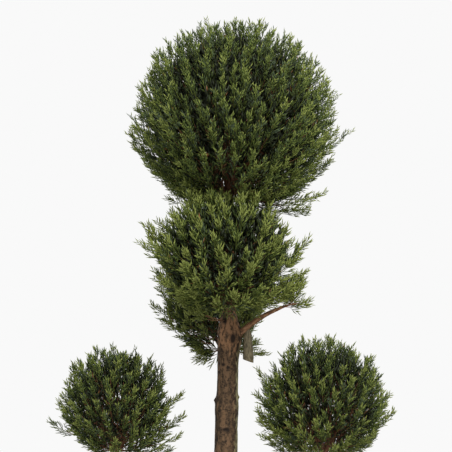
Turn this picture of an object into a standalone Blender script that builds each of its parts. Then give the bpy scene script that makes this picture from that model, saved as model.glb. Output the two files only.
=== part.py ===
"""A potted pompom topiary: a clipped evergreen with five round heads of foliage on one trunk.

Metres, +Z up. The origin is at the middle of the pot's flat underside, and -Y is the front.
Every woody piece is one tapering limb, and every head is one solid: a stem, a dense core, and
sprays that all grow away from one fan point near the head's foot.
"""

import math
import random

import bmesh
import bpy
import numpy as np
from mathutils import Matrix, Vector
from mathutils.geometry import intersect_line_line

GAP = 0.0003  # clear gap that touching solids keep
CUT_GAP = 1.3 * GAP  # the same, where a facetted limb is grown to cut its neighbour
MERGE = 0.00001  # doubles closer than this are one point

# ---- pot and compost
POT_HEIGHT = 0.300
POT_FOOT_RADIUS = 0.122
POT_RIM_RADIUS = 0.176
POT_WALL = 0.013
RIM_BAND_HEIGHT = 0.052  # the thick collar under the rim
RIM_BAND_PROUD = 0.009
POT_FLOOR = 0.018
COMPOST_BELOW_RIM = 0.034
COMPOST_DOME = 0.006  # how far the compost rises towards the trunk
POT_SIDES = 40

# ---- trunk: a slight lean to the right, with a swelling where the limbs fork
GROUND = POT_HEIGHT - COMPOST_BELOW_RIM + COMPOST_DOME + GAP
TRUNK_TOP = 1.430
TRUNK_LEAN = 0.0165  # sideways travel between the foot and the fork
FORK_HEIGHT = 1.125
TRUNK_SWAY = (0.001, 0.004)  # how far the trunk sways sideways and front to back
ROOT_FLARE = 0.014
ROOT_FLARE_HEIGHT = 0.055
# heights above the ground and diameters of the trunk, from its foot to its tip
TRUNK_GIRTHS = (
    (GROUND, 0.062), (0.84, 0.0565), (1.00, 0.0510), (1.09, 0.0540),
    (FORK_HEIGHT, 0.0570), (1.165, 0.0400), (1.30, 0.0350), (TRUNK_TOP, 0.0270),
)
TRUNK_RINGS = 24
TRUNK_BEVEL = 3  # bevel_resolution: a 10-sided trunk
# old pruning scars on the trunk: height, angle round the trunk from +X, size
KNOTS = (
    (1.146, -105, 0.009), (1.100, -62, 0.011), (0.945, 180, 0.010), (0.872, -85, 0.012), (0.47, 35, 0.012),
)
KNOT_RISE = 0.12
KNOT_SUNK = 0.42  # how deep a knot sits in the bark, KNOT_TALL how tall it is, against its size
KNOT_TALL = 1.25
KNOT_ROOM = 1.3

# ---- heads of foliage
# name: middle, half-sizes (x, y, z), how many sprays, length of a spray, how far down they go, seed
HEADS = {
    "top_head": ((0.030, 0.005, 1.655), (0.250, 0.250, 0.240), 88, 0.124, 144, 11),
    "middle_head": ((0.011, -0.075, 1.318), (0.188, 0.170, 0.158), 52, 0.092, 138, 23),
    "rear_head": ((-0.025, 0.245, 1.183), (0.146, 0.150, 0.152), 38, 0.084, 120, 37),
    "left_head": ((-0.265, 0.020, 0.938), (0.138, 0.138, 0.146), 38, 0.078, 138, 41),
    "right_head": ((0.255, -0.015, 0.953), (0.162, 0.158, 0.160), 40, 0.084, 138, 59),
}
CORE_SHARE = (0.70, 0.70, 0.64)  # half-sizes of the dense core against the head's
CORE_LIFT = 0.06
CORE_ROUGHNESS = (0.92, 1.05)
CORE_INSIDE = 0.92  # a spray's foot inside this share of the core is held by the core
HEAD_SPARE = 0.03  # a spray is nearer its own head than any other by this share of a head
LIMB_ROOM = 0.002  # a spray stays this far off the wood of another piece
FAN_SHARE = 0.84  # how far below a head's middle its shoots fan from, against its half-height
# a fan point that isn't straight below: x and y
FAN_SHIFT = {"top_head": (-0.014, 0.0), "middle_head": (0.004, 0.028), "rear_head": (0.034, 0.0)}
REACH = (0.94, 1.03)
ANGLE_JITTER = 0.16  # how far a shoot strays from the even scatter, round the head
LEVEL_JITTER = 0.02  # and up or down, against the head's half-height
SIZE_JITTER = (0.9, 1.1)
# where the shears left a head fuller or thinner than an even ball:
# compass angle from +X, angle down from the top, width of the place in degrees, change of reach
BULGES = {
    "top_head": ((0, 112, 20, 0.09), (180, 107, 15, 0.06), (180, 140, 14, 0.03), (0, 0, 18, -0.03)),
    "middle_head": ((0, 66, 20, -0.18), (0, 112, 22, 0.06), (180, 100, 24, -0.05)),
    "rear_head": ((180, 122, 24, -0.16), (0, 120, 24, -0.10)),
    "left_head": ((0, 8, 20, -0.10), (0, 75, 14, -0.10), (0, 125, 18, 0.08)),
    "right_head": ((0, 28, 22, -0.14), (180, 58, 16, -0.12), (180, 115, 26, 0.05)),
}
# long shoots that the shears missed: compass angle from +X, angle down from the top, reach
LONG_SHOOTS = {
    "top_head": (
        (-4, 94, 1.13), (183, 92, 1.08), (200, 118, 1.05), (80, 6, 1.03), (-6, 131, 1.20),
        (-20, 138, 1.16), (8, 143, 1.18), (-14, 147, 1.14), (186, 142, 1.07),
    ),
    "middle_head": ((176, 84, 1.17), (168, 72, 1.14), (-4, 80, 1.08), (-12, 118, 1.16)),
    "rear_head": ((182, 92, 1.12), (182, 109, 1.04), (182, 131, 1.0), (-8, 134, 1.28), (60, 50, 1.06)),
    "left_head": (
        (186, 104, 1.22), (-6, 82, 1.20), (4, 100, 1.24), (0, 116, 1.28), (-8, 128, 1.26), (210, 50, 1.10),
    ),
    "right_head": (
        (-3, 100, 1.08), (178, 68, 1.08), (188, 108, 1.06), (190, 120, 1.12), (90, 70, 1.05),
    ),
}

# ---- a spray: one flat, toothed blade, in shares of its length and width
SPRAY_WIDTH = 0.62  # against its length
LONG_SPRAY_WIDTH = 0.62  # a long shoot's width against a common one's
SPRAY_THICK = 0.085
SPRAY_ROLL = 1.1  # how far a blade may turn about its own length
SPRAY_SUNK = 0.010  # how deep a spray's foot goes into what carries it
# edge: how far along and how far out each point lies; rib: how far along and how thick;
# level: which rib point lies beside each edge point
BROAD_SPRAY = {
    "edge": ((0.0, 0.075), (0.54, 0.50), (0.50, 0.20), (0.86, 0.33), (0.78, 0.12), (1.0, 0.0)),
    "rib": ((0.0, 0.55), (0.46, 1.0), (0.76, 0.7)),
    "level": (0, 1, 1, 2, 2, 3),
}
SMALL_SPRAY = {
    "edge": ((0.0, 0.075), (0.66, 0.50), (0.58, 0.17), (1.0, 0.0)),
    "rib": ((0.0, 0.55), (0.50, 1.0)),
    "level": (0, 1, 1, 2),
}
SPRAY_KINDS = {
    "top_head": BROAD_SPRAY, "middle_head": SMALL_SPRAY, "rear_head": SMALL_SPRAY,
    "left_head": SMALL_SPRAY, "right_head": SMALL_SPRAY,
}

# ---- limbs: foot on the trunk's line, a bend, tip, radius at the foot and at the tip
LIMBS = {
    "left_limb": (0.600, (-0.150, 0.008, 0.655), (-0.252, 0.018, 0.800), 0.0150, 0.0090),
    "right_limb": (0.655, (0.165, -0.008, 0.690), (0.246, -0.014, 0.800), 0.0150, 0.0090),
    "rear_limb": (0.930, (0.012, 0.110, 0.945), (0.011, 0.222, 1.030), 0.0145, 0.0090),
    "middle_limb": (1.088, (0.075, -0.014, 1.150), (0.132, -0.036, 1.170), 0.0085, 0.0045),
}
CARRIERS = {"rear_head": "rear_limb", "left_head": "left_limb", "right_head": "right_limb"}
LIMB_RINGS = 9
LIMB_BEVEL = 2  # bevel_resolution: 8-sided limbs
STEM_BEVEL = 1  # 6-sided stems
STEM_TAPER = (1.0, 1.0, 0.9, 0.75, 0.5)
TWIG_RADIUS = 0.0042
TWIG_TIP_RADIUS = 0.0020
MIDDLE_STEM_HEIGHT = 1.168  # the middle head's stem leaves the trunk's front here
MIDDLE_STEM_RADIUS = 0.011
MIDDLE_STEM_AIM = (0.0, -0.9, 0.45)
STEM_START = 0.012  # a stem runs straight on from what carries it for this long
STEM_MIDDLE = 0.6  # and has its next bend at this share of the way to the fan point
STEM_END = 0.1  # its top stops below the head's middle, against the half-height
TWIG_START = (0.10, 0.60)  # where twigs leave the stem: for the lowest and the topmost shoots
TWIG_CLEAR = 0.25  # past this share of its length a twig keeps clear of the wood
TWIG_END = 0.35  # it ends inside its spray, at this share of the spray
COLLAR = 0.45  # how much a limb's foot swells where it leaves the trunk
COLLAR_LENGTH = 0.16

# ---- the weathered stub beside the fork: it hangs under the middle limb, sawn off at its foot
STUB_SHARE = 0.41  # how far along the limb it hangs
STUB_LEAN = (-0.002, 0.016)  # how far it drifts to the right and to the back on its way down
STUB_HEEL = 0.004  # the last stretch kicks out, so the sawn face is slanted
# heights and diameters from the limb down
STUB_GIRTHS = (
    (1.131, 0.006), (1.123, 0.010), (1.1125, 0.019), (1.0875, 0.023), (1.0625, 0.0265), (1.044, 0.027),
)

MATERIALS = {
    "bark": ((0.115, 0.070, 0.043), 0.90, 0.0),
    "foliage": ((0.040, 0.078, 0.022), 0.72, 0.0),
    "terracotta": ((0.420, 0.165, 0.080), 0.85, 0.0),
    "compost": ((0.030, 0.020, 0.013), 1.00, 0.0),
}


def clear_scene():
    for old in list(bpy.data.objects):
        bpy.data.objects.remove(old)


def material(name):
    """A Principled material from the table of colours, made once."""
    made = bpy.data.materials.get(name)
    if made is None:
        colour, roughness, metallic = MATERIALS[name]
        made = bpy.data.materials.new(name)
        made.use_nodes = True
        shader = made.node_tree.nodes["Principled BSDF"]
        shader.inputs["Base Color"].default_value = (*colour, 1.0)
        shader.inputs["Roughness"].default_value = roughness
        shader.inputs["Metallic"].default_value = metallic
    return made


def place(name, mesh, collection, finish):
    """One object of this mesh in the collection, with the named material."""
    made = bpy.data.objects.new(name, mesh)
    collection.objects.link(made)
    mesh.materials.clear()
    mesh.materials.append(material(finish))
    return made


def new_collection(name):
    made = bpy.data.collections.new(name)
    bpy.context.scene.collection.children.link(made)
    return made


def smooth(thing, degrees=45):
    thing.data.shade_smooth()
    thing.data.set_sharp_from_angle(angle=math.radians(degrees))


def evaluated_mesh(thing):
    bpy.context.view_layer.update()
    graph = bpy.context.evaluated_depsgraph_get()
    return bpy.data.meshes.new_from_object(thing.evaluated_get(graph))


# ---------------------------------------------------------------- pot and compost


def turned(name, profile, collection, finish):
    """A profile of (radius, height) points, from the inside to the axis below, turned round Z."""
    mesh = bpy.data.meshes.new(name)
    points = [(radius, 0.0, height) for radius, height in profile]
    mesh.from_pydata(points, [(i, i + 1) for i in range(len(points) - 1)], [])
    made = place(name, mesh, collection, finish)
    screw = made.modifiers.new("turn", "SCREW")
    screw.steps = screw.render_steps = POT_SIDES
    screw.use_merge_vertices = True
    screw.merge_threshold = MERGE
    return made


def pot_outer_radius(height):
    return POT_FOOT_RADIUS + (POT_RIM_RADIUS - RIM_BAND_PROUD - POT_FOOT_RADIUS) * height / POT_HEIGHT


def make_pot(collection):
    band_foot = POT_HEIGHT - RIM_BAND_HEIGHT
    chamfer = 0.004
    profile = (
        (0.0, POT_FLOOR),
        (pot_outer_radius(POT_FLOOR) - POT_WALL, POT_FLOOR),
        (pot_outer_radius(POT_HEIGHT) - POT_WALL, POT_HEIGHT - chamfer),
        (pot_outer_radius(POT_HEIGHT) - POT_WALL + chamfer, POT_HEIGHT),
        (POT_RIM_RADIUS - chamfer, POT_HEIGHT),
        (POT_RIM_RADIUS, POT_HEIGHT - chamfer),
        (POT_RIM_RADIUS - chamfer / 2, band_foot + chamfer),
        (pot_outer_radius(band_foot), band_foot - chamfer),
        (pot_outer_radius(chamfer), chamfer),
        (POT_FOOT_RADIUS - chamfer, 0.0),
        (0.0, 0.0),
    )
    return turned("pot", profile, collection, "terracotta")


def make_compost(collection):
    """The compost fills the pot: a low dome, flat round the trunk, clear of the wall by the gap."""
    edge = POT_HEIGHT - COMPOST_BELOW_RIM
    foot = POT_FLOOR + GAP
    inner = [pot_outer_radius(h) - POT_WALL - 4 * GAP for h in (edge, foot)]
    profile = (
        (0.0, edge + COMPOST_DOME),
        (0.060, edge + COMPOST_DOME),
        (0.5 * inner[0] + 0.03, edge + 0.6 * COMPOST_DOME),
        (inner[0], edge),
        (inner[1], foot),
        (0.0, foot),
    )
    return turned("compost", profile, collection, "compost")


# ---------------------------------------------------------------- trunk and limbs


def trunk_line(height):
    """The middle of the trunk at a height: an even lean, with a slow sway."""
    share = (height - GROUND) / (FORK_HEIGHT - GROUND)
    lean = TRUNK_LEAN * min(share, 1.0)
    sideways = lean + TRUNK_SWAY[0] * math.sin(math.pi * share)
    return Vector((sideways, TRUNK_SWAY[1] * math.sin(5 * share), height))


def trunk_radius(height):
    """Half the girth between the stations, with the root flare added at the foot."""
    heights, girths = zip(*TRUNK_GIRTHS)
    flare = ROOT_FLARE * math.exp(-(height - GROUND) / ROOT_FLARE_HEIGHT)
    return float(np.interp(height, heights, girths)) / 2 + flare


def limb_solid(name, points, radii, bevel, collection, finish="bark"):
    """A tapering round limb along the points, as one closed mesh."""
    curve = bpy.data.curves.new(name, "CURVE")
    curve.dimensions = "3D"
    curve.bevel_depth = 1.0
    curve.bevel_resolution = bevel
    curve.use_fill_caps = True
    spline = curve.splines.new("POLY")
    spline.points.add(len(points) - 1)
    for knot, point, radius in zip(spline.points, points, radii):
        knot.co = (*point, 1.0)
        knot.radius = radius
    guide = bpy.data.objects.new(name + "_guide", curve)
    collection.objects.link(guide)
    mesh = evaluated_mesh(guide)
    bpy.data.objects.remove(guide)
    form = bmesh.new()
    form.from_mesh(mesh)
    bmesh.ops.remove_doubles(form, verts=form.verts, dist=MERGE)
    bmesh.ops.recalc_face_normals(form, faces=form.faces)
    form.to_mesh(mesh)
    form.free()
    made = place(name, mesh, collection, finish)
    smooth(made)
    return made


def apply_boolean(thing, operation, others):
    """Cuts or joins the thing with a collection of meshes, which is then removed."""
    boolean = thing.modifiers.new(operation.lower(), "BOOLEAN")
    boolean.operand_type = "COLLECTION"
    boolean.collection = others
    boolean.operation = operation
    boolean.solver = "MANIFOLD"
    mesh = evaluated_mesh(thing)
    thing.modifiers.clear()
    thing.data = mesh
    for other in list(others.objects):
        bpy.data.objects.remove(other)
    bpy.data.collections.remove(others)


def keep_outer_shell(thing):
    """Drops every loose scrap and fills every sealed hollow: only the largest shell stays."""
    form = bmesh.new()
    form.from_mesh(thing.data)
    waiting = set(form.verts)
    shells = []
    while waiting:
        shell, front = set(), [waiting.pop()]
        while front:
            vertex = front.pop()
            shell.add(vertex)
            near = [edge.other_vert(vertex) for edge in vertex.link_edges]
            front += [v for v in near if v in waiting]
            waiting.difference_update(near)
        shells.append(shell)
    largest = max(shells, key=len)
    bmesh.ops.delete(form, geom=[v for v in form.verts if v not in largest], context="VERTS")
    form.to_mesh(thing.data)
    form.free()


def trunk_path():
    """The trunk's middle and half girths, in rings that lie closer together in the root flare."""
    shares = np.linspace(0.0, 1.0, TRUNK_RINGS) ** 1.25
    heights = [GROUND + float(share) * (TRUNK_TOP - GROUND) for share in shares]
    points = [trunk_line(height) for height in heights]
    points[1].xy = points[0].xy  # the first stretch is upright, so the cut at the ground is level
    return points, [trunk_radius(height) for height in heights]


def knot_middle(height, angle, size):
    """A knot stands a little more than half out of the bark."""
    out = Vector((math.cos(math.radians(angle)), math.sin(math.radians(angle)), KNOT_RISE))
    return trunk_line(height) + out * (trunk_radius(height) - KNOT_SUNK * size)


def make_trunk(collection):
    trunk = limb_solid("trunk", *trunk_path(), TRUNK_BEVEL, collection)
    knots = new_collection("knots")
    for number, (height, angle, size) in enumerate(KNOTS):
        bpy.ops.mesh.primitive_ico_sphere_add(subdivisions=1, radius=size)
        knot = bpy.context.object
        knot.name = f"knot_{number}"
        knot.data.transform(Matrix.Diagonal((1.0, 1.0, KNOT_TALL, 1.0)))
        knot.data.transform(Matrix.Translation(knot_middle(height, angle, size)))
        bpy.context.collection.objects.unlink(knot)
        knots.objects.link(knot)
    apply_boolean(trunk, "UNION", knots)
    smooth(trunk, 50)
    return trunk


def bend(foot, middle, tip, count):
    """Points along a quadratic curve that starts at foot, leans towards middle and ends at tip."""
    points = []
    for i in range(count):
        t = i / (count - 1)
        points.append(foot * (1 - t) ** 2 + middle * 2 * t * (1 - t) + tip * t * t)
    return points


def limb_path(name):
    """Where a limb's middle runs and how thick it is at each ring."""
    height, middle, tip, foot_radius, tip_radius = LIMBS[name]
    points = bend(trunk_line(height), Vector(middle), Vector(tip), LIMB_RINGS)
    radii = []
    for i in range(LIMB_RINGS):
        share = i / (LIMB_RINGS - 1)
        swell = 1 + COLLAR * math.exp(-share / COLLAR_LENGTH)
        radii.append((foot_radius + (tip_radius - foot_radius) * share) * swell)
    return points, radii


def cut_clear(thing, points, radii, bevel, clearance):
    """Cuts the thing back from a limb along the points, which it then clears all round."""
    room = new_collection("room")
    ends = [points[0] + (points[0] - points[1]).normalized() * 0.01]
    ends.append(points[-1] + (points[-1] - points[-2]).normalized() * clearance)
    grown = [radius + clearance for radius in radii]
    path = [ends[0], *points[1:-1], ends[1]]
    limb_solid("limb_room", path, grown, bevel, room)
    apply_boolean(thing, "DIFFERENCE", room)


def cut_clear_of_trunk(thing, clearance):
    points, radii = trunk_path()
    cut_clear(thing, points, radii, TRUNK_BEVEL, clearance)


def make_limb(name, collection):
    points, radii = limb_path(name)
    limb = limb_solid(name, points, radii, LIMB_BEVEL, collection)
    cut_clear_of_trunk(limb, CUT_GAP)
    smooth(limb)
    return limb


def stub_path():
    """The stub's middle, from inside the limb that it hangs on down to its sawn foot."""
    limb = limb_path("middle_limb")[0]
    place_on_limb = STUB_SHARE * (len(limb) - 1)
    ring = int(place_on_limb)
    top = limb[ring].lerp(limb[ring + 1], place_on_limb - ring)
    heights = [height for height, _ in STUB_GIRTHS]
    points = []
    for height in heights:
        share = (heights[0] - height) / (heights[0] - heights[-1])
        points.append(Vector((top.x + STUB_LEAN[0] * share, top.y + STUB_LEAN[1] * share, height)))
    points[-1].x += STUB_HEEL
    return points, [girth / 2 for _, girth in STUB_GIRTHS]


def make_stub(collection):
    points, radii = stub_path()
    stub = limb_solid("dead_stub", points, radii, LIMB_BEVEL, collection)
    cut_clear(stub, *limb_path("middle_limb"), LIMB_BEVEL, CUT_GAP)
    keep_outer_shell(stub)
    smooth(stub)
    return stub


# ---------------------------------------------------------------- heads of foliage


def spray_mesh(kind):
    """One toothed blade along +X, a unit long and wide, thick along its rib and thin at its edge.

    No primitive has this outline, so its four quarters are laid strip by strip between edge and rib.
    """
    form = bmesh.new()
    tip = form.verts.new((1.0, 0.0, 0.0))
    edges = {
        side: [form.verts.new((x, side * y, 0.0)) for x, y in kind["edge"][:-1]] + [tip]
        for side in (1, -1)
    }
    ribs = {
        face: [form.verts.new((x, 0.0, face * z / 2)) for x, z in kind["rib"]] + [tip]
        for face in (1, -1)
    }
    level = kind["level"]
    for side in (1, -1):
        for face in (1, -1):
            edge, rib = edges[side], ribs[face]
            for i in range(len(edge) - 1):
                a, b = level[i], level[i + 1]
                ring = [edge[i], edge[i + 1], rib[b], rib[a]]
                ring = [v for n, v in enumerate(ring) if v not in ring[:n]]
                form.faces.new(ring)
    form.faces.new([edges[1][0], ribs[1][0], edges[-1][0], ribs[-1][0]])
    bmesh.ops.triangulate(form, faces=form.faces)
    bmesh.ops.recalc_face_normals(form, faces=form.faces)
    mesh = bpy.data.meshes.new("spray")
    form.to_mesh(mesh)
    form.free()
    return mesh


def growth_frame(start, along, roll):
    """A matrix whose +X runs along a direction from start, turned about it by roll."""
    turn = along.to_track_quat("X", "Z").to_matrix().to_4x4()
    return Matrix.Translation(start) @ turn @ Matrix.Rotation(roll, 4, "X")


def tapered_stick(name, start, end, radius, end_radius, sides, collection):
    """A straight twig between two points."""
    form = bmesh.new()
    length = (end - start).length
    bmesh.ops.create_cone(
        form, cap_ends=True, segments=sides, radius1=radius, radius2=end_radius, depth=length
    )
    turn = (end - start).to_track_quat("Z", "Y").to_matrix().to_4x4()
    bmesh.ops.transform(form, matrix=Matrix.Translation((start + end) / 2) @ turn, verts=form.verts)
    mesh = bpy.data.meshes.new(name)
    form.to_mesh(mesh)
    form.free()
    return place(name, mesh, collection, "foliage")


def head_share(name, point):
    """How far out a point lies in a head: 0 at its middle, 1 on its clipped surface."""
    middle, half = HEADS[name][:2]
    return math.sqrt(sum(((point[k] - middle[k]) / half[k]) ** 2 for k in range(3)))


def in_own_space(name, points):
    """Every point is nearer, in shares of a head, to this head than to any other."""
    others = [other for other in HEADS if other != name]
    return all(
        head_share(name, p) + HEAD_SPARE < head_share(other, p) for p in points for other in others
    )


def gap_between(a0, a1, b0, b1):
    """The shortest distance between two straight stretches."""
    found = intersect_line_line(a0, a1, b0, b1)
    best = min(
        (p - q0.lerp(q1, min(max((p - q0).dot(q1 - q0) / (q1 - q0).length_squared, 0.0), 1.0))).length
        for p, q0, q1 in ((a0, b0, b1), (a1, b0, b1), (b0, a0, a1), (b1, a0, a1))
    )
    if found:
        on_a, on_b = found
        inside_a = 0 <= (on_a - a0).dot(a1 - a0) <= (a1 - a0).length_squared
        inside_b = 0 <= (on_b - b0).dot(b1 - b0) <= (b1 - b0).length_squared
        if inside_a and inside_b:
            best = min(best, (on_a - on_b).length)
    return best


def clear_of_limbs(start, end, half_width, bones):
    """A shoot as wide as this stays off every limb, trunk and stub."""
    room = half_width + LIMB_ROOM
    return all(gap_between(start, end, a, b) > radius + room for a, b, radius in bones)


def limb_bones():
    """The stretches of every woody piece, as (start, end, radius)."""
    lines = [trunk_path(), *[limb_path(name) for name in LIMBS], stub_path()]
    bones = []
    for points, radii in lines:
        bones += [(a, b, max(r, s)) for a, b, r, s in zip(points, points[1:], radii, radii[1:])]
    for height, angle, size in KNOTS:
        middle = knot_middle(height, angle, size)
        bones.append((middle, middle + Vector((0.0, 0.0, MERGE)), KNOT_ROOM * size))
    return bones


def aim(angle, down):
    """The unit direction at a compass angle and an angle down from the top."""
    return Vector((math.sin(down) * math.cos(angle), math.sin(down) * math.sin(angle), math.cos(down)))


def fullness(name, out):
    """How far the head reaches in a direction against an even ball, by its bulges and dents."""
    change = 0.0
    for angle, down, width, much in BULGES[name]:
        turn = math.degrees(out.angle(aim(math.radians(angle), math.radians(down))))
        change += much * math.exp(-((turn / width) ** 2))
    return 1 + change


def shoot_directions(name):
    """Evenly scattered directions from the top down to the open foot, then the long shoots."""
    count, _, lowest, seed = HEADS[name][2:]
    chance = random.Random(seed)
    golden = math.pi * (3 - math.sqrt(5))
    cap = 1 - math.cos(math.radians(lowest))
    directions = []
    for i in range(count):
        level = 1 - cap * (i + 0.5) / count
        angle = golden * i + chance.uniform(-ANGLE_JITTER, ANGLE_JITTER)
        level += chance.uniform(-LEVEL_JITTER, LEVEL_JITTER)
        down = math.acos(max(-1.0, min(1.0, level)))
        reach = chance.uniform(*REACH) * fullness(name, aim(angle, down))
        directions.append((angle, down, reach, 1.0))
    for angle, down, reach in LONG_SHOOTS[name]:
        directions.append((math.radians(angle), math.radians(down), reach, LONG_SPRAY_WIDTH))
    return directions, chance


def head_frame(name):
    """The head's middle, half-sizes and fan point, as vectors."""
    middle, half = Vector(HEADS[name][0]), Vector(HEADS[name][1])
    return middle, half, middle + Vector((*FAN_SHIFT.get(name, (0.0, 0.0)), -FAN_SHARE * half.z))


def core_frame(name):
    """The middle and half-sizes of a head's dense core."""
    middle, half, _ = head_frame(name)
    core_half = Vector([half[k] * CORE_SHARE[k] for k in range(3)])
    return middle + Vector((0.0, 0.0, CORE_LIFT * half.z)), core_half


def make_core(name, collection, chance):
    """The dense inside of a clipped head, roughened so that it has no even outline."""
    middle, half = core_frame(name)
    bpy.ops.mesh.primitive_ico_sphere_add(subdivisions=2, radius=1.0)
    core = bpy.context.object
    core.name = name
    for vertex in core.data.vertices:
        vertex.co *= chance.uniform(*CORE_ROUGHNESS)
    core.data.transform(Matrix.Diagonal((*half, 1.0)))
    core.data.transform(Matrix.Translation(middle))
    bpy.context.collection.objects.unlink(core)
    collection.objects.link(core)
    core.data.materials.append(material("foliage"))
    return core


def within_core(name, point):
    """Whether a point lies well inside the head's core."""
    middle, half = core_frame(name)
    off = point - middle
    share = math.sqrt(sum((off[k] / half[k]) ** 2 for k in range(3)))
    return share < CORE_INSIDE - SPRAY_SUNK / half.z


def stem_path(name):
    """A head's stem: on from the tip of the limb that carries it, up to the head's middle."""
    middle, half, fan = head_frame(name)
    top = middle - Vector((0.0, 0.0, STEM_END * half.z))
    if name == "top_head":
        foot, along, radius = trunk_line(TRUNK_TOP), Vector((0.0, 0.0, 1.0)), trunk_radius(TRUNK_TOP)
    elif name == "middle_head":
        foot = trunk_line(MIDDLE_STEM_HEIGHT)
        along, radius = Vector(MIDDLE_STEM_AIM).normalized(), MIDDLE_STEM_RADIUS
    else:
        points, radii = limb_path(CARRIERS[name])
        foot, along, radius = points[-1], (points[-1] - points[-2]).normalized(), radii[-1]
    start = foot + along * GAP
    return [start, start + along * STEM_START, start.lerp(fan, STEM_MIDDLE), fan, top], radius


def make_head(name, bones, collection):
    """One head: core, stem, and every spray that keeps to the head's own space."""
    middle, half, fan = head_frame(name)
    length = HEADS[name][3]
    kind = SPRAY_KINDS[name]
    directions, chance = shoot_directions(name)
    core = make_core(name, collection, chance)
    pieces = new_collection(name + "_pieces")
    stem, stem_radius = stem_path(name)
    stem_radii = [stem_radius * share for share in STEM_TAPER]
    limb_solid("stem", stem, stem_radii, STEM_BEVEL, pieces, "foliage")
    blade = spray_mesh(kind)
    for angle, down, reach, narrow in directions:
        out = aim(angle, down)
        tip = middle + Vector([out[k] * half[k] for k in range(3)]) * reach
        along = (tip - fan).normalized()
        size = length * chance.uniform(*SIZE_JITTER)
        width = size * SPRAY_WIDTH * narrow
        foot = tip - along * size
        frame = growth_frame(foot, along, chance.uniform(-SPRAY_ROLL, SPRAY_ROLL))
        frame = frame @ Matrix.Diagonal((size, width, size * SPRAY_THICK, 1.0))
        corners = [frame @ Vector((x, side * y, 0.0)) for x, y in kind["edge"] for side in (1, -1)]
        if not in_own_space(name, corners):
            continue
        if not clear_of_limbs(foot, tip, 0.5 * width, bones):
            continue
        if not within_core(name, foot):
            # a spray whose foot misses the core is carried by a twig from the stem
            low, high = TWIG_START
            start = fan.lerp(stem[-1], high + (low - high) * down / math.pi)
            if not clear_of_limbs(start.lerp(foot, TWIG_CLEAR), foot, TWIG_RADIUS, bones):
                continue
            end = foot.lerp(tip, TWIG_END)
            tapered_stick("twig", start, end, TWIG_RADIUS, TWIG_TIP_RADIUS, 3, pieces)
        mesh = blade.copy()
        mesh.transform(frame)
        place("blade", mesh, pieces, "foliage")
    apply_boolean(core, "UNION", pieces)
    keep_outer_shell(core)
    return core


def main():
    clear_scene()
    topiary = new_collection("pompom_topiary")
    make_pot(topiary)
    make_compost(topiary)
    make_trunk(topiary)
    for name in LIMBS:
        make_limb(name, topiary)
    make_stub(topiary)
    bones = limb_bones()
    for name in HEADS:
        head = make_head(name, bones, topiary)
        if name == "middle_head":
            cut_clear_of_trunk(head, CUT_GAP)
            keep_outer_shell(head)


main()
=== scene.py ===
# %% [markdown]
# # A potted pompom topiary
# A young conifer is trained on one bare stem and clipped into five round heads: a large one on
# top, one in front of the trunk, one behind it, and one on a limb to each side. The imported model
# gives each head as one coarse solid. Here every solid is dressed: the trunk gets its bark, the
# pot its fired clay, and each head the thousands of small sprays that the solid stands for.

import collections
import itertools
import math

import bpy
import numpy as np
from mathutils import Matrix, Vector


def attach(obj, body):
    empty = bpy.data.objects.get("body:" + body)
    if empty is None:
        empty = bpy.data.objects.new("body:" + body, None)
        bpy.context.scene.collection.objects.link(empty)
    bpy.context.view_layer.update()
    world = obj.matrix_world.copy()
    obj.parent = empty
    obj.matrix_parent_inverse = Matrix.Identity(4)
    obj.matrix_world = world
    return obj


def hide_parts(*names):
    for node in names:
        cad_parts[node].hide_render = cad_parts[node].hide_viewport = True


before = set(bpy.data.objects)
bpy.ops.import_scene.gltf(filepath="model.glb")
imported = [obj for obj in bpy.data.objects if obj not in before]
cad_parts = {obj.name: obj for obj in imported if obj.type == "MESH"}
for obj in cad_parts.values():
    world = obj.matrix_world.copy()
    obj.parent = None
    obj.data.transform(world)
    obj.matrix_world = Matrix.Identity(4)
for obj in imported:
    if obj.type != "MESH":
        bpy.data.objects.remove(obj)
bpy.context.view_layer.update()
print("nodes:", sorted(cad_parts))

# %% [markdown]
# ## The camera
# The camera stands four metres away, level with the middle of what it sees. Its long lens keeps
# the heads behind the trunk almost as large as those in front, as in a catalogue picture.

# %% Camera
CAMERA_AWAY = 4.0
VIEW_MIDDLE = (0.010, 1.385)  # x and z of the picture's middle, metres
VIEW_WIDTH = 1.13  # metres across the picture, at the trunk
SENSOR = 36.0

lens = bpy.data.cameras.new("camera")
lens.sensor_width = SENSOR
lens.lens = SENSOR * CAMERA_AWAY / VIEW_WIDTH
lens.dof.use_dof = False
camera = bpy.data.objects.new("camera", lens)
camera.location = (VIEW_MIDDLE[0], -CAMERA_AWAY, VIEW_MIDDLE[1])
camera.rotation_euler = (math.radians(90), 0, 0)
link = bpy.context.scene.collection.objects.link
link(camera)
bpy.context.scene.camera = camera
print("lens, mm:", round(lens.lens, 1))

# %% [markdown]
# ## Surfaces from arrays
# A mesh is filled from whole arrays of points and faces, which is many times faster than a loop
# over points. Bark, clay and soil are all one kind of surface: a grid whose columns run round a
# shape and whose rows run along it, with a fan of triangles over each end so that it is closed.

# %% Meshes from arrays
MM = 0.001


def unit(vectors):
    """Each vector divided by its own length."""
    return vectors / np.maximum(np.linalg.norm(vectors, axis=-1, keepdims=True), 1e-12)


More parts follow.
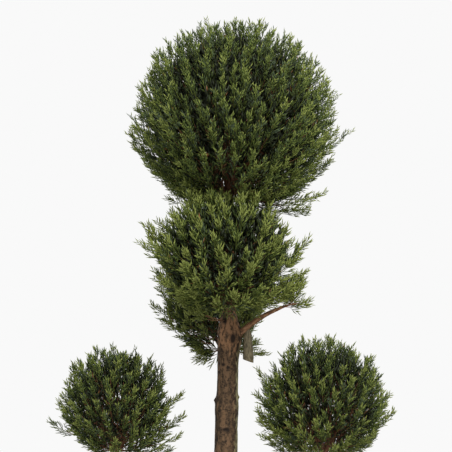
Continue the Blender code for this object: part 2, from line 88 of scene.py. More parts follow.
def mesh_piece(name, points, faces, materials, node, tints=None, vectors=None):
    """An object at the origin from arrays of points and triangles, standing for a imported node.

    tints gives each face's place in the list of materials. vectors holds named vector
    attributes, one value a point, that a material can read.
    """
    mesh = bpy.data.meshes.new(name)
    mesh.vertices.add(len(points))
    mesh.vertices.foreach_set("co", np.asarray(points, np.float32).ravel())
    mesh.loops.add(faces.size)
    mesh.loops.foreach_set("vertex_index", faces.astype(np.int32).ravel())
    mesh.polygons.add(len(faces))
    mesh.polygons.foreach_set("loop_start", np.arange(0, faces.size, 3, dtype=np.int32))
    for material in materials:
        mesh.materials.append(material)
    if tints is not None:
        mesh.polygons.foreach_set("material_index", np.asarray(tints, np.int32))
    for title, values in (vectors or {}).items():
        layer = mesh.attributes.new(title, "FLOAT_VECTOR", "POINT")
        layer.data.foreach_set("vector", np.asarray(values, np.float32).ravel())
    mesh.update(calc_edges=True)
    mesh.shade_smooth()
    piece = bpy.data.objects.new(name, mesh)
    link(piece)
    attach(piece, "root")
    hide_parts(node)
    return piece


# %% Skins round a shape
def around(columns):
    """The angles of a ring's columns; the last column's neighbour is the first."""
    return np.linspace(0, 2 * np.pi, columns, endpoint=False)


def skin_faces(rows, columns):
    """Triangles of a grid that runs round a shape, and of a fan over each end.

    A point's number is row * columns + column; the foot's and the top's middle come last.
    """
    row, column = np.meshgrid(np.arange(rows - 1), np.arange(columns), indexing="ij")
    here = row * columns + column
    right = row * columns + (column + 1) % columns
    wall = np.stack([here, right, right + columns, here, right + columns, here + columns], axis=-1)
    column = np.arange(columns)
    beside, last = (column + 1) % columns, (rows - 1) * columns
    foot = np.stack([np.full(columns, rows * columns), beside, column], axis=-1)
    top = np.stack([np.full(columns, rows * columns + 1), last + column, last + beside], axis=-1)
    return np.concatenate([wall.reshape(-1, 3), foot, top])


def skin_points(grid):
    """A grid of points, rows by columns, with the middles of its first and last rows after it."""
    return np.concatenate([grid.reshape(-1, 3), grid[:1].mean(axis=1), grid[-1:].mean(axis=1)])


print("faces of a skin of 3 rows and 8 columns:", len(skin_faces(3, 8)))

# %% [markdown]
# ## Noise as arrays
# Bark, clay and compost are uneven at every scale. Value noise gives each whole-number corner of
# space a random height and blends smoothly between corners. Summed at halving sizes it looks
# natural. The random heights come from mixing the corner's numbers, so each run gives the same.


# %% Noise
def noise(points, seed=0):
    """Value noise from -1 to 1: random heights at whole-number corners, blended smoothly."""
    points = np.asarray(points, float)
    cell = np.floor(points).astype(np.int64)
    part = points - cell
    blend = part * part * (3 - 2 * part)
    total = np.zeros(points.shape[:-1])
    for corner in itertools.product((0, 1), repeat=3):
        key = (cell + corner) * (73856093, 19349663, 83492791)
        mixed = key[..., 0] ^ key[..., 1] ^ key[..., 2] ^ (seed * 2654435761)
        mixed = ((mixed ^ (mixed >> 13)) * 1274126177) & 0x7FFFFFFF
        height = ((mixed ^ (mixed >> 16)) & 0xFFFF) / 32767.5 - 1
        total += height * np.prod(np.where(corner, blend, 1 - blend), axis=-1)
    return total


def rough(points, octaves=4, seed=0):
    """Noise summed at halving sizes and halving heights."""
    return sum(noise(points * 2**i, seed + i) / 2**i for i in range(octaves))


print("noise at three corners:", noise(np.eye(3)).round(2).tolist())

# %% [markdown]
# ## Small tools for materials
# Colours are written as the hex values that a paint program shows, and one function turns them to
# the linear light that a render works in. Another adds a node with its settings and its links, and
# hands back the output that the next node takes, so that a finish reads from first to last.


# %% Colours and nodes
def linear(hex_colour):
    """An sRGB hex colour as linear red, green, blue and alpha."""
    parts = [int(hex_colour[i : i + 2], 16) / 255 for i in (1, 3, 5)]
    return (*[c / 12.92 if c <= 0.04045 else ((c + 0.055) / 1.055) ** 2.4 for c in parts], 1.0)


def new_material(name, colour, roughness, specular=0.5):
    """A material with one Principled shader: the material, its tree and the shader."""
    made = bpy.data.materials.new(name)
    made.use_nodes = True
    shader = made.node_tree.nodes["Principled BSDF"]
    shader.inputs["Base Color"].default_value = linear(colour)
    shader.inputs["Roughness"].default_value = roughness
    shader.inputs["Specular IOR Level"].default_value = specular
    return made, made.node_tree, shader


def add(tree, kind, *values, links=None, stops=(), out=0, **settings):
    """Adds a shader node with its properties, and hands back one of its outputs.

    values fill its inputs in order, and links fill them by name or number. Each is a number, a hex
    colour or another node's output. stops are a colour ramp's places and colours.
    """
    node = tree.nodes.new("ShaderNode" + kind)
    for key, value in settings.items():
        setattr(node, key, value)
    for key, value in [*enumerate(values), *(links or {}).items()]:
        if isinstance(value, bpy.types.NodeSocket):
            tree.links.new(value, node.inputs[key])
        else:
            node.inputs[key].default_value = linear(value) if isinstance(value, str) else value
    for number, (place, colour) in enumerate(stops):
        elements = node.color_ramp.elements
        element = elements[number] if number < 2 else elements.new(place)
        element.position, element.color = place, linear(colour)
    return node.outputs[out]


print("middle grey in linear light:", round(linear("#808080")[0], 3))

# %% [markdown]
# ## The trunk's line and girth
# The trunk and limbs follow the same rules as their solids: a slight lean, a slow sway, girths
# between named heights, and a flare at the foot. As array functions they place every ring of the
# bark in one call.

# %% Trunk and limbs: the rules
GROUND = 0.2723  # where the trunk leaves the compost
TRUNK_TOP = 1.430
TRUNK_LEAN = 0.0165
TRUNK_SWAY = (-0.0015, 0.004)  # sideways, and front to back
FORK_HEIGHT = 1.125
ROOT_FLARE = 0.014
ROOT_FLARE_HEIGHT = 0.055
TRUNK_GIRTHS = (
    (GROUND, 0.062), (0.84, 0.0580), (1.00, 0.0528), (1.09, 0.0540), (FORK_HEIGHT, 0.0570),
    (1.165, 0.0400), (1.30, 0.0350), (TRUNK_TOP, 0.0270),
)
# each limb's foot height, bend, tip, radius at its foot and radius at its tip
LIMBS = {
    "left_limb": (0.600, (-0.150, 0.008, 0.655), (-0.252, 0.018, 0.800), 0.0150, 0.0090),
    "right_limb": (0.655, (0.165, -0.008, 0.690), (0.246, -0.014, 0.800), 0.0150, 0.0090),
    "rear_limb": (0.930, (0.012, 0.110, 0.945), (0.011, 0.222, 1.030), 0.0145, 0.0090),
    "middle_limb": (1.088, (0.075, -0.014, 1.153), (0.136, -0.036, 1.178), 0.0085, 0.0043),
}
COLLAR = 0.45  # how much wider a limb is at its foot
COLLAR_LENGTH = 0.16  # as a share of the limb


def trunk_line(heights):
    """The trunk's middle: x grows evenly up to the fork, and a slow sine sways it both ways."""
    heights = np.asarray(heights, float)
    share = (heights - GROUND) / (FORK_HEIGHT - GROUND)
    x = TRUNK_LEAN * np.minimum(share, 1) + TRUNK_SWAY[0] * np.sin(np.pi * share)
    return np.stack([x, TRUNK_SWAY[1] * np.sin(5 * share), heights], axis=-1)


def trunk_radius(heights):
    """Half the girth between the named heights, plus a flare that dies away up the trunk."""
    heights = np.asarray(heights, float)
    stations, girths = np.transpose(TRUNK_GIRTHS)
    flare = ROOT_FLARE * np.exp(-(heights - GROUND) / ROOT_FLARE_HEIGHT)
    return np.interp(heights, stations, girths) / 2 + flare


def curve(starts, bends, ends, shares):
    """Points on quadratic curves and their headings, at shares of each from 0 to 1.

    A curve leaves its start towards its bend and comes into its end from the bend.
    """
    t = np.asarray(shares, float)[..., None]
    start, bend, end = (np.asarray(v, float)[..., None, :] for v in (starts, bends, ends))
    points = start * (1 - t) ** 2 + bend * 2 * t * (1 - t) + end * t * t
    return points, unit((bend - start) * (1 - t) + (end - bend) * t)


def limb_line(name, shares):
    """A limb's middle, headings and radii at shares of its length, wider at the branch collar."""
    height, bend, tip, foot_radius, tip_radius = LIMBS[name]
    points, headings = curve(trunk_line(height), bend, tip, shares)
    radii = foot_radius + (tip_radius - foot_radius) * shares
    return points, headings, radii * (1 + COLLAR * np.exp(-shares / COLLAR_LENGTH))


print("trunk's radius at the fork, mm:", round(float(trunk_radius(FORK_HEIGHT)) / MM, 1))

# %% [markdown]
# ## Keeping clear of the wood
# Foliage mustn't run through the trunk. Every woody piece is a chain of short straight bones, and
# a point is clear when it lies further from each bone than the bone's radius.


# %% Bones
def bones_of(points, radii):
    """The stretches between neighbouring points: their starts, ends and larger radii."""
    return points[:-1], points[1:], np.maximum(radii[:-1], radii[1:])


bone_heights = np.linspace(GROUND, TRUNK_TOP, 24)
bone_shares = np.linspace(0, 1, 8)
chains = [bones_of(trunk_line(bone_heights), trunk_radius(bone_heights))]
for limb in LIMBS:
    middle_points, _, limb_radii = limb_line(limb, bone_shares)
    chains.append(bones_of(middle_points, limb_radii))
WOOD = [np.concatenate(parts) for parts in zip(*chains)]


def wood_gap(points, bones=WOOD):
    """How far points lie outside the nearest bone: the distance to it less its radius."""
    starts, ends, radii = bones
    run = ends - starts
    off = np.asarray(points)[..., None, :] - starts
    share = np.clip((off * run).sum(-1) / (run * run).sum(-1), 0, 1)
    away = np.linalg.norm(off - share[..., None] * run, axis=-1)
    return (away - radii).min(axis=-1)


print("bones of wood:", len(WOOD[0]))

# %% [markdown]
# ## Bark
# This conifer has thin, stringy bark that splits into upright strips. Its relief is worked out in
# straightened space: each point is taken back to a straight upright stem, so that one rule serves
# the trunk and the curved limbs. Noise stretched along the stem gives the strips. Folding it about
# zero leaves sharp crests and rounded furrows. The straightened place and the depth of the relief
# are kept as attributes, so that the material can paint shade into the furrows and run its streaks
# upright.

# %% Bark relief
STRIP = (6 * MM, 6 * MM, 22 * MM)  # width, width and length of a strip of bark
PLATE = (12 * MM, 12 * MM, 26 * MM)
FIBRE = (2.4 * MM, 2.4 * MM, 9 * MM)


def bark_relief(straight, depth, seed):
    """Crests of folded noise, raised plates and fine fibres: relief in metres, and 0 to 1."""
    wander = 5 * MM * noise(straight / (40 * MM), seed + 9)[..., None]
    place = straight + wander
    crests = 1 - np.abs(rough(place / STRIP, 3, seed)) * 1.5
    plates = np.tanh(4 * noise(place / PLATE, seed + 4))
    fibres = noise(place / FIBRE, seed + 6)
    relief = depth * (0.62 * (crests - 0.45) + 0.30 * plates + 0.16 * fibres)
    return relief, np.clip(0.5 + 0.62 * relief / depth, 0, 1)


def straightened(radius, along, angles):
    """The same rings on a straight upright stem: radius * cos, radius * sin and the way along."""
    grid = np.zeros((len(along), len(angles), 3))
    grid[..., 0], grid[..., 1] = radius * np.cos(angles), radius * np.sin(angles)
    grid[..., 2] = along[:, None]
    return grid


def bark_marks(straight, shade, knots=0.0, grey=0.0):
    """The attributes that the bark's material reads, with those of the two ends after the grid."""
    marks = np.stack([shade, shade * 0 + knots, shade * 0 + grey], axis=-1)
    ends = straight[[0, -1], 0] * (0, 0, 1)
    return {
        "straight": np.concatenate([straight.reshape(-1, 3), ends]),
        "relief": np.concatenate([marks.reshape(-1, 3), [[0.5, 0, 0]] * 2]),
    }


def round_grid(middles, sides, ups, radii, angles):
    """Rings of points round a line: middle + radius * (side * cos + up * sin)."""
    ring = sides[:, None] * np.cos(angles)[:, None] + ups[:, None] * np.sin(angles)[:, None]
    return middles[:, None] + ring * radii[..., None], ring


print("a strip of bark, mm:", [round(size / MM) for size in STRIP])

# %% [markdown]
# The bark's material: grey-brown outer bark, tan where a strip has just come away, dark in the knots,
# and painted shade in the furrows. The surface is dull, with hardly any shine. The trunk's bark also
# differs from place to place: round the fork it is younger and redder, and lighter as painted light
# where the middle head shades the upper trunk; its front is worn, with a painted highlight, and
# cracked into flakes; and a pale green strip of algae and painted rim light runs down one side. Each
# is a layer of colour with its share.


# %% Where the trunk's bark differs, and where light is painted on it
def weathering_and_painted_light(tree, straight, patches, streaks, tan):
    """Shares of younger, worn, cracked and green bark; all but the cracks also carry painted light.

    Each adds slopes across the trunk's places, in metres, to the bark's own patches, and the sum
    is cut off between two values.
    """
    x, y, z = add(tree, "SeparateXYZ", straight).node.outputs
    # younger, redder bark and painted light in the middle head's shade: above 1.05 m, most at the front
    high = add(tree, "MapRange", z, 1.045, 1.095, -0.30, 0.02)
    lit_facing = add(tree, "MapRange", y, -0.008, -0.026, -0.10, 0.04)
    upper = add(tree, "Math", high, lit_facing, operation="ADD")
    dealt = add(tree, "Math", upper, patches, operation="ADD")
    young_and_lit = add(tree, "MapRange", dealt, 0.42, 0.62, 0.0, 0.80)
    # worn bark where it is torn, and a painted highlight on the front, in flakes 5 mm wide and 3 mm tall
    small = add(tree, "Mapping", straight, links={"Scale": (200, 200, 330)})
    flakes = add(tree, "TexNoise", small, links={"Scale": 1.0, "Detail": 4.0})
    front = add(tree, "MapRange", y, -0.0060, -0.0280, -0.35, 0.02)
    torn_and_lit_front = add(tree, "Math", front, tan, operation="ADD")
    both = add(tree, "Math", torn_and_lit_front, flakes, operation="ADD")
    rubbed_and_front_highlight = add(tree, "MapRange", both, 0.38, 0.72, 0.0, 0.5)
    cracks = add(tree, "MapRange", flakes, 0.44, 0.28, 0.0, 0.6)
    # pale green strip on the right-hand side, up to 1.1 m: algae and a painted rim light
    side = add(tree, "MapRange", x, 0.0120, 0.0275, -0.70, 0.30)
    broken = add(tree, "Math", patches, 1.9, side, operation="MULTIPLY_ADD")
    streaked = add(tree, "Math", streaks, 1.3, broken, operation="MULTIPLY_ADD")
    algae_and_rim_light = add(tree, "MapRange", streaked, 1.45, 2.15, 0.0, 0.85)
    low = add(tree, "MapRange", z, 1.04, 1.10, 1.0, 0.0)
    return young_and_lit, rubbed_and_front_highlight, cracks, add(tree, "Math", algae_and_rim_light, low, operation="MULTIPLY")


# %% Bark material
# cells to the metre across and along, and detail: patches 6 mm wide and 13 mm tall, streaks 14 mm
# wide and 60 mm tall, and fibres 1.2 mm wide, which the mesh is too coarse for
BARK_PATTERNS = (((167, 167, 77), 5.0), ((71, 71, 17), 3.0), ((830, 830, 120), 2.0))
# painted light on the younger bark, the worn front and the green strip; grey for a limb's foot
YOUNG_AND_LIT_BARK, RUBBED_AND_HIGHLIGHT_BARK, GREY_BARK, ALGAE_AND_RIM_LIGHT = "#9a7150", "#705740", "#4b3b2b", "#949069"


def bark_material(name, dark, mid, pale, streak, furrow, weathered_and_lit):
    """Streaked bark: stretched noise picks the colour, and the relief paints shade into the furrows."""
    made, tree, shader = new_material(name, mid, 0.88, 0.25)
    straight = add(tree, "Attribute", attribute_name="straight", out="Vector")
    relief = add(tree, "Attribute", attribute_name="relief", out="Vector")
    shade, knots, grey = add(tree, "SeparateXYZ", relief).node.outputs
    patterns = []
    for scale, detail in BARK_PATTERNS:
        stretched = add(tree, "Mapping", straight, links={"Scale": scale})
        patterns.append(add(tree, "TexNoise", stretched, links={"Scale": 1.0, "Detail": detail}))
    patches, streaks, fibres = patterns
    colour = add(tree, "ValToRGB", patches, stops=((0.37, dark), (0.50, mid), (0.63, pale)))
    torn = add(tree, "Math", patches, 0.9, streaks, operation="MULTIPLY_ADD")
    tan = add(tree, "MapRange", torn, 0.98, 1.16, 0.0, 0.8)
    # painted shade in the furrows, from the depth of the relief
    painted_furrow_shade = add(tree, "MapRange", shade, 0.50, 0.12, 0.0, 0.5)
    layers = [(tan, streak), (painted_furrow_shade, furrow), (grey, GREY_BARK), (knots, furrow)]
    # the trunk's extra layers: all but the cracks are partly painted light
    if weathered_and_lit:
        young_and_lit, rubbed_and_front_highlight, cracks, green = weathering_and_painted_light(tree, straight, patches, streaks, tan)
        layers.insert(1, (young_and_lit, YOUNG_AND_LIT_BARK))
        layers[4:4] = [(rubbed_and_front_highlight, RUBBED_AND_HIGHLIGHT_BARK), (cracks, furrow)]
        layers.append((green, ALGAE_AND_RIM_LIGHT))
    for share, tint in layers:
        colour = add(tree, "Mix", share, links={6: colour, 7: tint}, data_type="RGBA", out=2)
    tree.links.new(colour, shader.inputs["Base Color"])
    bump = add(tree, "Bump", links={"Strength": 0.5, "Distance": 0.6 * MM, "Height": fibres})
    tree.links.new(bump, shader.inputs["Normal"])
    return made


old_bark = bark_material("stringy_bark", "#291f15", "#3b2e1f", "#4f3d29", "#5c452e", "#150e09", True)
limb_bark = bark_material("young_limb_bark", "#5c4130", "#865f41", "#a17c5d", "#b08260", "#2e1c12", False)
print("bark materials:", old_bark.name, limb_bark.name)

# %% [markdown]
# ## The trunk
# The trunk is one skin of a hundred columns and 620 rows, each cell under two millimetres. To the
# bark's relief it adds slow lobes, a collar of swollen wood round each limb's foot, and the knots
# where side shoots were cut off: a raised lip round a dark hollow, or a plain nub.

# %% Knots
# height, angle round the trunk from +X in degrees, size, how much taller than wide, how hollow
KNOTS = (
    (1.151, -114, 0.0085, 1.1, 1.0), (1.106, -68, 0.0080, 1.9, 1.0), (1.041, -114, 0.0058, 0.8, 1.0),
    (1.034, -88, 0.0050, 0.8, 1.0), (0.950, 180, 0.0085, 1.0, -0.6), (0.958, -8, 0.0060, 1.1, -0.5),
    (0.880, -91, 0.0105, 0.5, 1.0), (0.735, -120, 0.0090, 1.4, 0.7), (0.470, 35, 0.0110, 1.2, 0.8),
    (0.520, -70, 0.0080, 1.3, 0.8), (0.800, 95, 0.0090, 1.2, 0.8),
)


def knot_shapes(angles, heights, radius):
    """All the knots: relief in metres (a lip round a hollow, or a nub) and darkness, 0 to 1."""
    lift = np.zeros((len(heights), len(angles)))
    dark = np.zeros_like(lift)
    for height, angle, size, tall, hollow in KNOTS:
        turn = (angles - math.radians(angle) + np.pi) % (2 * np.pi) - np.pi
        across, along = turn[None, :] * radius, (heights[:, None] - height) / tall
        away = np.hypot(across, along) / size
        lift += size * (0.42 * np.exp(-(away**2)) - 0.50 * hollow * np.exp(-((away / 0.5) ** 2)))
        dark = np.maximum(dark, np.clip(1.9 * max(hollow, 0.2) * np.exp(-((away / 0.75) ** 2)), 0, 0.95))
    return lift, dark


print("knots:", len(KNOTS))

# %% Trunk
TRUNK_ROWS, TRUNK_COLUMNS = 620, 100
BARK_DEPTH = 1.0 * MM
MEAN_RADIUS = 28 * MM
LOBE_DEPTH, LOBE_SIZE = 0.035, (0.040, 0.040, 0.17)  # a share of the radius, and metres
COLLAR_SWELL, COLLAR_FADE = 5 * MM, 9 * MM  # at each limb's foot: how high, and how far it spreads
RIDGE_FOOT, RIDGE_TOP = 1.045, 1.105  # a ridge of swollen wood runs down from the small limb
RIDGE_PLACE = (0.026, -0.006, 0)  # beside the trunk's middle
RIDGE_SWELL, RIDGE_FADE = 4 * MM, 5 * MM

heights = np.linspace(GROUND - 4 * MM, TRUNK_TOP, TRUNK_ROWS)
angles = around(TRUNK_COLUMNS)
straight = straightened(MEAN_RADIUS, heights, angles)
relief, shade = bark_relief(straight, BARK_DEPTH, 3)
knot_lift, knot_dark = knot_shapes(angles, heights, MEAN_RADIUS)
lobes = 1 + LOBE_DEPTH * noise(straight / LOBE_SIZE, 21)
fade = np.clip((TRUNK_TOP - heights) / 0.02, 0.2, 1)[:, None]
radii = trunk_radius(heights)[:, None] * lobes + (relief - 0.5 * MM + knot_lift) * fade
across, upwards = (np.tile(axis, (TRUNK_ROWS, 1)) for axis in ([1.0, 0.0, 0.0], [0.0, 1.0, 0.0]))
trunk_grid, outward = round_grid(trunk_line(heights), across, upwards, radii, angles)
for limb in LIMBS:
    limb_middles, _, limb_radii = limb_line(limb, np.linspace(0, 0.4, 12))
    gap = wood_gap(trunk_grid, bones_of(limb_middles, limb_radii))
    trunk_grid += outward * (COLLAR_SWELL * np.exp(-np.maximum(gap, 0) / COLLAR_FADE))[..., None]
ridge = trunk_line(np.linspace(RIDGE_FOOT - 0.01, RIDGE_TOP + 0.01, 6)) + np.array(RIDGE_PLACE)
gap = wood_gap(trunk_grid, bones_of(ridge, np.full(6, 3 * MM)))
rise = np.clip((heights - RIDGE_FOOT) / (RIDGE_TOP - RIDGE_FOOT), 0, 1)[:, None]
trunk_grid += outward * (RIDGE_SWELL * rise * np.exp(-np.maximum(gap, 0) / RIDGE_FADE))[..., None]
faces = skin_faces(TRUNK_ROWS, TRUNK_COLUMNS)
marks = bark_marks(straight, shade, knots=knot_dark)
mesh_piece("trunk_bark", skin_points(trunk_grid), faces, [old_bark], "trunk", vectors=marks)
print("trunk's triangles:", len(faces))

# %% [markdown]
# ## Limbs and stems
# A limb is the same skin along a curve. Its rings stand square to the curve, and they keep their
# turn from ring to ring, because every ring's side vector is made from one fixed direction. Near
# the trunk a limb's bark is as grey as the trunk's.


# %% Limbs
def wood_skin(name, node, line, columns, depth, seed, finish=(limb_bark, "bark"), grey_foot=0.0):
    """Bark or bare wood round a curved line, with the same relief rule as the trunk's.

    The line is its middles, headings and radii. finish is a material and a slot name that is not used.
    """
    middles, headings, radii = line
    sides = unit(np.cross(headings, (0.13, 0.97, 0.21)))
    ups = np.cross(headings, sides)
    angles = around(columns)
    steps = np.linalg.norm(np.diff(middles, axis=0), axis=-1)
    along = np.concatenate([[0], np.cumsum(steps)])
    straight = straightened(float(radii.mean()), along, angles)
    relief, shade = bark_relief(straight + seed, depth, seed)
    lumps = 1 + 0.05 * noise(straight / (0.020, 0.020, 0.07), seed + 5)
    grid, _ = round_grid(middles, sides, ups, radii[:, None] * lumps + relief, angles)
    marks = bark_marks(straight, shade, grey=np.exp(-along / grey_foot)[:, None] if grey_foot else 0.0)
    faces = skin_faces(len(middles), columns)
    return mesh_piece(name, skin_points(grid), faces, finish[:1], node, vectors=marks)


LIMB_ROWS, SHORT_LIMB_ROWS, LIMB_COLUMNS = 180, 90, 44
LIMB_RELIEF = 0.8 * MM
GREY_LENGTH = 0.06  # metres in which a limb's bark loses the trunk's grey

for number, limb in enumerate(LIMBS):
    rows = SHORT_LIMB_ROWS if limb == "middle_limb" else LIMB_ROWS
    line = limb_line(limb, np.linspace(0, 1, rows))
    wood_skin(f"{limb}_bark", limb, line, LIMB_COLUMNS, LIMB_RELIEF, 30 + number, grey_foot=GREY_LENGTH)
print("limbs:", ", ".join(LIMBS))

# %% [markdown]
# ## The dead stub
# Under the small limb hangs the stub of a dead branch, grey and without bark, sawn off aslant. It
# widens downwards from the place where it broke away.

# %% Dead wood
STUB_SHARE = 0.41  # the place on the limb that it hangs from
STUB_LEAN = (0.001, 0.016)
STUB_GIRTHS = (
    (1.134, 0.006), (1.125, 0.010), (1.1125, 0.019), (1.0875, 0.023), (1.0625, 0.0265), (1.044, 0.027),
)
SAWN_FOOT = 1.0475  # the height of the middle of the sawn face
SAWN_SLOPE, SAWN_ROWS = -0.34, 12
STUB_ROWS, STUB_COLUMNS, STUB_RELIEF = 110, 56, 0.9 * MM
SHEAR_TOP, SHEAR_FADE = 1.11, 0.06  # the slope of the cut fades away upwards, to this height


def dead_wood_material():
    """Weathered dead wood: grey-olive, with upright checks where it has dried and split."""
    made, tree, shader = new_material("weathered_dead_wood", "#6b6453", 0.9, 0.2)
    straight = add(tree, "Attribute", attribute_name="straight", out="Vector")
    # grain 3 mm wide and 11 mm long
    stretched = add(tree, "Mapping", straight, links={"Scale": (300, 300, 95)})
    grain = add(tree, "TexNoise", stretched, links={"Scale": 1.0, "Detail": 5.0})
    stops = ((0.34, "#4f483a"), (0.50, "#6f6650"), (0.68, "#877c62"))
    tree.links.new(add(tree, "ValToRGB", grain, stops=stops), shader.inputs["Base Color"])
    bump = add(tree, "Bump", links={"Strength": 0.6, "Distance": 0.8 * MM, "Height": grain})
    tree.links.new(bump, shader.inputs["Normal"])
    return made


# %% Dead stub
top = limb_line("middle_limb", np.array([STUB_SHARE]))[0][0]
stub_top, stub_foot = STUB_GIRTHS[0][0], STUB_GIRTHS[-1][0]
stub_heights = np.linspace(stub_top, SAWN_FOOT, STUB_ROWS)
share = (stub_top - stub_heights) / (stub_top - stub_foot)
lean = [top[i] + STUB_LEAN[i] * share for i in (0, 1)]
stub_middles = np.stack([*lean, stub_heights], axis=-1)
stub_radii = np.interp(-stub_heights, *np.transpose([(-h, girth / 2) for h, girth in STUB_GIRTHS]))
# the sawn face is closed by rows that shrink towards its middle
stub_middles = np.concatenate([stub_middles, np.tile(stub_middles[-1], (SAWN_ROWS, 1))])
stub_radii = np.concatenate([stub_radii, stub_radii[-1] * np.linspace(0.97, 0.05, SAWN_ROWS)])
line = (stub_middles, np.tile([0.0, 0.0, -1.0], (len(stub_middles), 1)), stub_radii)
finish = (dead_wood_material(), "dead_wood")
stub = wood_skin("dead_stub_wood", "dead_stub", line, STUB_COLUMNS, STUB_RELIEF, 51, finish)
# the lower half is sheared so that the saw cut slopes
stub_points = np.empty(len(stub.data.vertices) * 3, np.float32)
stub.data.vertices.foreach_get("co", stub_points)
stub_points = stub_points.reshape(-1, 3)
low_share = np.clip((SHEAR_TOP - stub_points[:, 2]) / SHEAR_FADE, 0, 1)
stub_points[:, 2] += SAWN_SLOPE * (stub_points[:, 0] - stub_middles[-1][0]) * low_share
stub.data.vertices.foreach_set("co", stub_points.ravel())
stub.data.update()
print("dead stub's foot, m:", round(float(stub_points[:, 2].min()), 3))

# %% [markdown]
# ## The pot
# A terracotta pot is thrown or pressed as one turned wall: a flat foot, a flaring side, a rim band
# that stands proud, a rounded lip, and the wall again inside. The profile is a chain of corners,
# each rounded by a short curve, and turning it about the upright axis gives the pot.

# %% Pot profile
POT_HEIGHT = 0.300
POT_FOOT_RADIUS = 0.122
POT_RIM_RADIUS = 0.176
POT_WALL = 0.013
RIM_BAND_HEIGHT = 0.052
RIM_BAND_PROUD = 0.009
POT_FLOOR = 0.018
CORNER_STEPS = 7
POT_COLUMNS = 168


def pot_radius(height):
    """The side's radius under the rim band: even flare from the foot to the rim."""
    return POT_FOOT_RADIUS + (POT_RIM_RADIUS - RIM_BAND_PROUD - POT_FOOT_RADIUS) * height / POT_HEIGHT


def rounded(corners, spacing):
    """A profile through corners (radius, height, rounding), as points no further apart than spacing.

    Each corner becomes a quadratic curve that starts and ends its rounding away from it.
    """
    places, roundings = np.array([c[:2] for c in corners]), [c[2] for c in corners]
    parts = [places[:1]]
    for before, here, after, size in zip(places, places[1:], places[2:], roundings[1:]):
        start = here + unit(before - here) * size
        end = here + unit(after - here) * size
        t = np.linspace(0, 1, CORNER_STEPS)[:, None]
        parts.append(start * (1 - t) ** 2 + here * 2 * t * (1 - t) + end * t * t)
    line = np.concatenate([*parts, places[-1:]])
    lengths = np.linalg.norm(np.diff(line, axis=0), axis=-1)
    counts = np.maximum(1, np.ceil(lengths / spacing)).astype(int)
    shares = [np.linspace(0, 1, count, endpoint=False)[:, None] for count in counts]
    spaced = [a + (b - a) * share for a, b, share in zip(line, line[1:], shares)]
    return np.concatenate([*spaced, line[-1:]])


def turned_grid(profile, columns):
    """A profile of (radius, height) turned about the upright axis, and the angle of each column."""
    angles = around(columns)
    radius, height = profile[:, :1], profile[:, 1:]
    ones = np.ones((1, columns))
    return np.stack([radius * np.cos(angles), radius * np.sin(angles), height * ones], axis=-1), angles


band_foot = POT_HEIGHT - RIM_BAND_HEIGHT
pot_profile = rounded(
    (
        (0.002, 0.0, 0),
        (POT_FOOT_RADIUS - 0.001, 0.0, 0.004),
        (pot_radius(band_foot), band_foot, 0.003),
        (POT_RIM_RADIUS - 0.003, band_foot + 0.002, 0.004),
        (POT_RIM_RADIUS, POT_HEIGHT, 0.006),
        (pot_radius(POT_HEIGHT) - POT_WALL, POT_HEIGHT, 0.005),
        (pot_radius(POT_FLOOR) - POT_WALL, POT_FLOOR, 0.006),
        (0.002, POT_FLOOR, 0),
    ),
    3.5 * MM,
)
print("points in the pot's profile:", len(pot_profile))


# %% Terracotta
def terracotta_material():
    """Fired earthenware: matt orange-brown, with chalky salts under the rim band and at the foot."""
    made, tree, shader = new_material("terracotta", "#b0623f", 0.86, 0.3)
    where = add(tree, "TexCoord", out="Object")
    # clouds of colour about 70 mm across, from the fire and from weather
    clouds = add(tree, "TexNoise", where, links={"Scale": 14.0, "Detail": 6.0, "Roughness": 0.62})
    clay_colours = ((0.33, "#96502f"), (0.50, "#b0623f"), (0.68, "#c27a53"))
    clay = add(tree, "ValToRGB", clouds, stops=clay_colours)
    height = add(tree, "SeparateXYZ", where, out=2)
    # white salts bloom where water dries out: under the band and round the foot
    salts = add(tree, "TexNoise", where, links={"Scale": 38.0, "Detail": 8.0, "Roughness": 0.7})
    foot = add(tree, "MapRange", height, 0.10, 0.0, 0.0, 0.16)
    band = add(tree, "MapRange", height, 0.215, 0.285, 0.0, 0.13)
    edges = add(tree, "Math", foot, band, operation="ADD")
    total = add(tree, "Math", edges, salts, operation="ADD")
    bloom = add(tree, "MapRange", total, 0.56, 0.80, 0.0, 0.62)
    mixed = add(tree, "Mix", bloom, links={6: clay, 7: "#dcc3ad"}, data_type="RGBA", out=2)
    tree.links.new(mixed, shader.inputs["Base Color"])
    # fine grog, half a millimetre across
    grog = add(tree, "TexNoise", where, links={"Scale": 1800.0, "Detail": 2.0})
    bump = add(tree, "Bump", links={"Strength": 0.25, "Distance": 0.4 * MM, "Height": grog})
    tree.links.new(bump, shader.inputs["Normal"])
    return made


# %% [markdown]
# The turned wall isn't perfect: faint rings stay from the making, it is out of round by a fraction
# of a millimetre, and its skin is a little grainy.

# %% Pot
pot_grid, pot_angles = turned_grid(pot_profile, POT_COLUMNS)
outward = np.stack([np.cos(pot_angles), np.sin(pot_angles), np.zeros(POT_COLUMNS)], axis=-1)[None]
rings = 0.15 * MM * np.sin(pot_grid[..., 2] / (5.5 * MM))
uneven = 0.5 * MM * rough(pot_grid / 0.05, 3, 71) + 0.12 * MM * noise(pot_grid / 0.004, 77)
on_wall = np.clip((pot_profile[:, :1] - 0.10) / 0.01, 0, 1)
pot_grid += outward * ((rings + uneven) * on_wall)[..., None]
clay_faces = skin_faces(*pot_grid.shape[:2])
clay = [terracotta_material()]
pot = mesh_piece("terracotta_pot", skin_points(pot_grid), clay_faces, clay, "pot")
print("pot's triangles:", len(pot.data.polygons))

# %% [markdown]
# ## The compost
# The compost is a low dome of crumbs. The surface is the solid's profile, roughened by noise whose
# steps are a few millimetres.

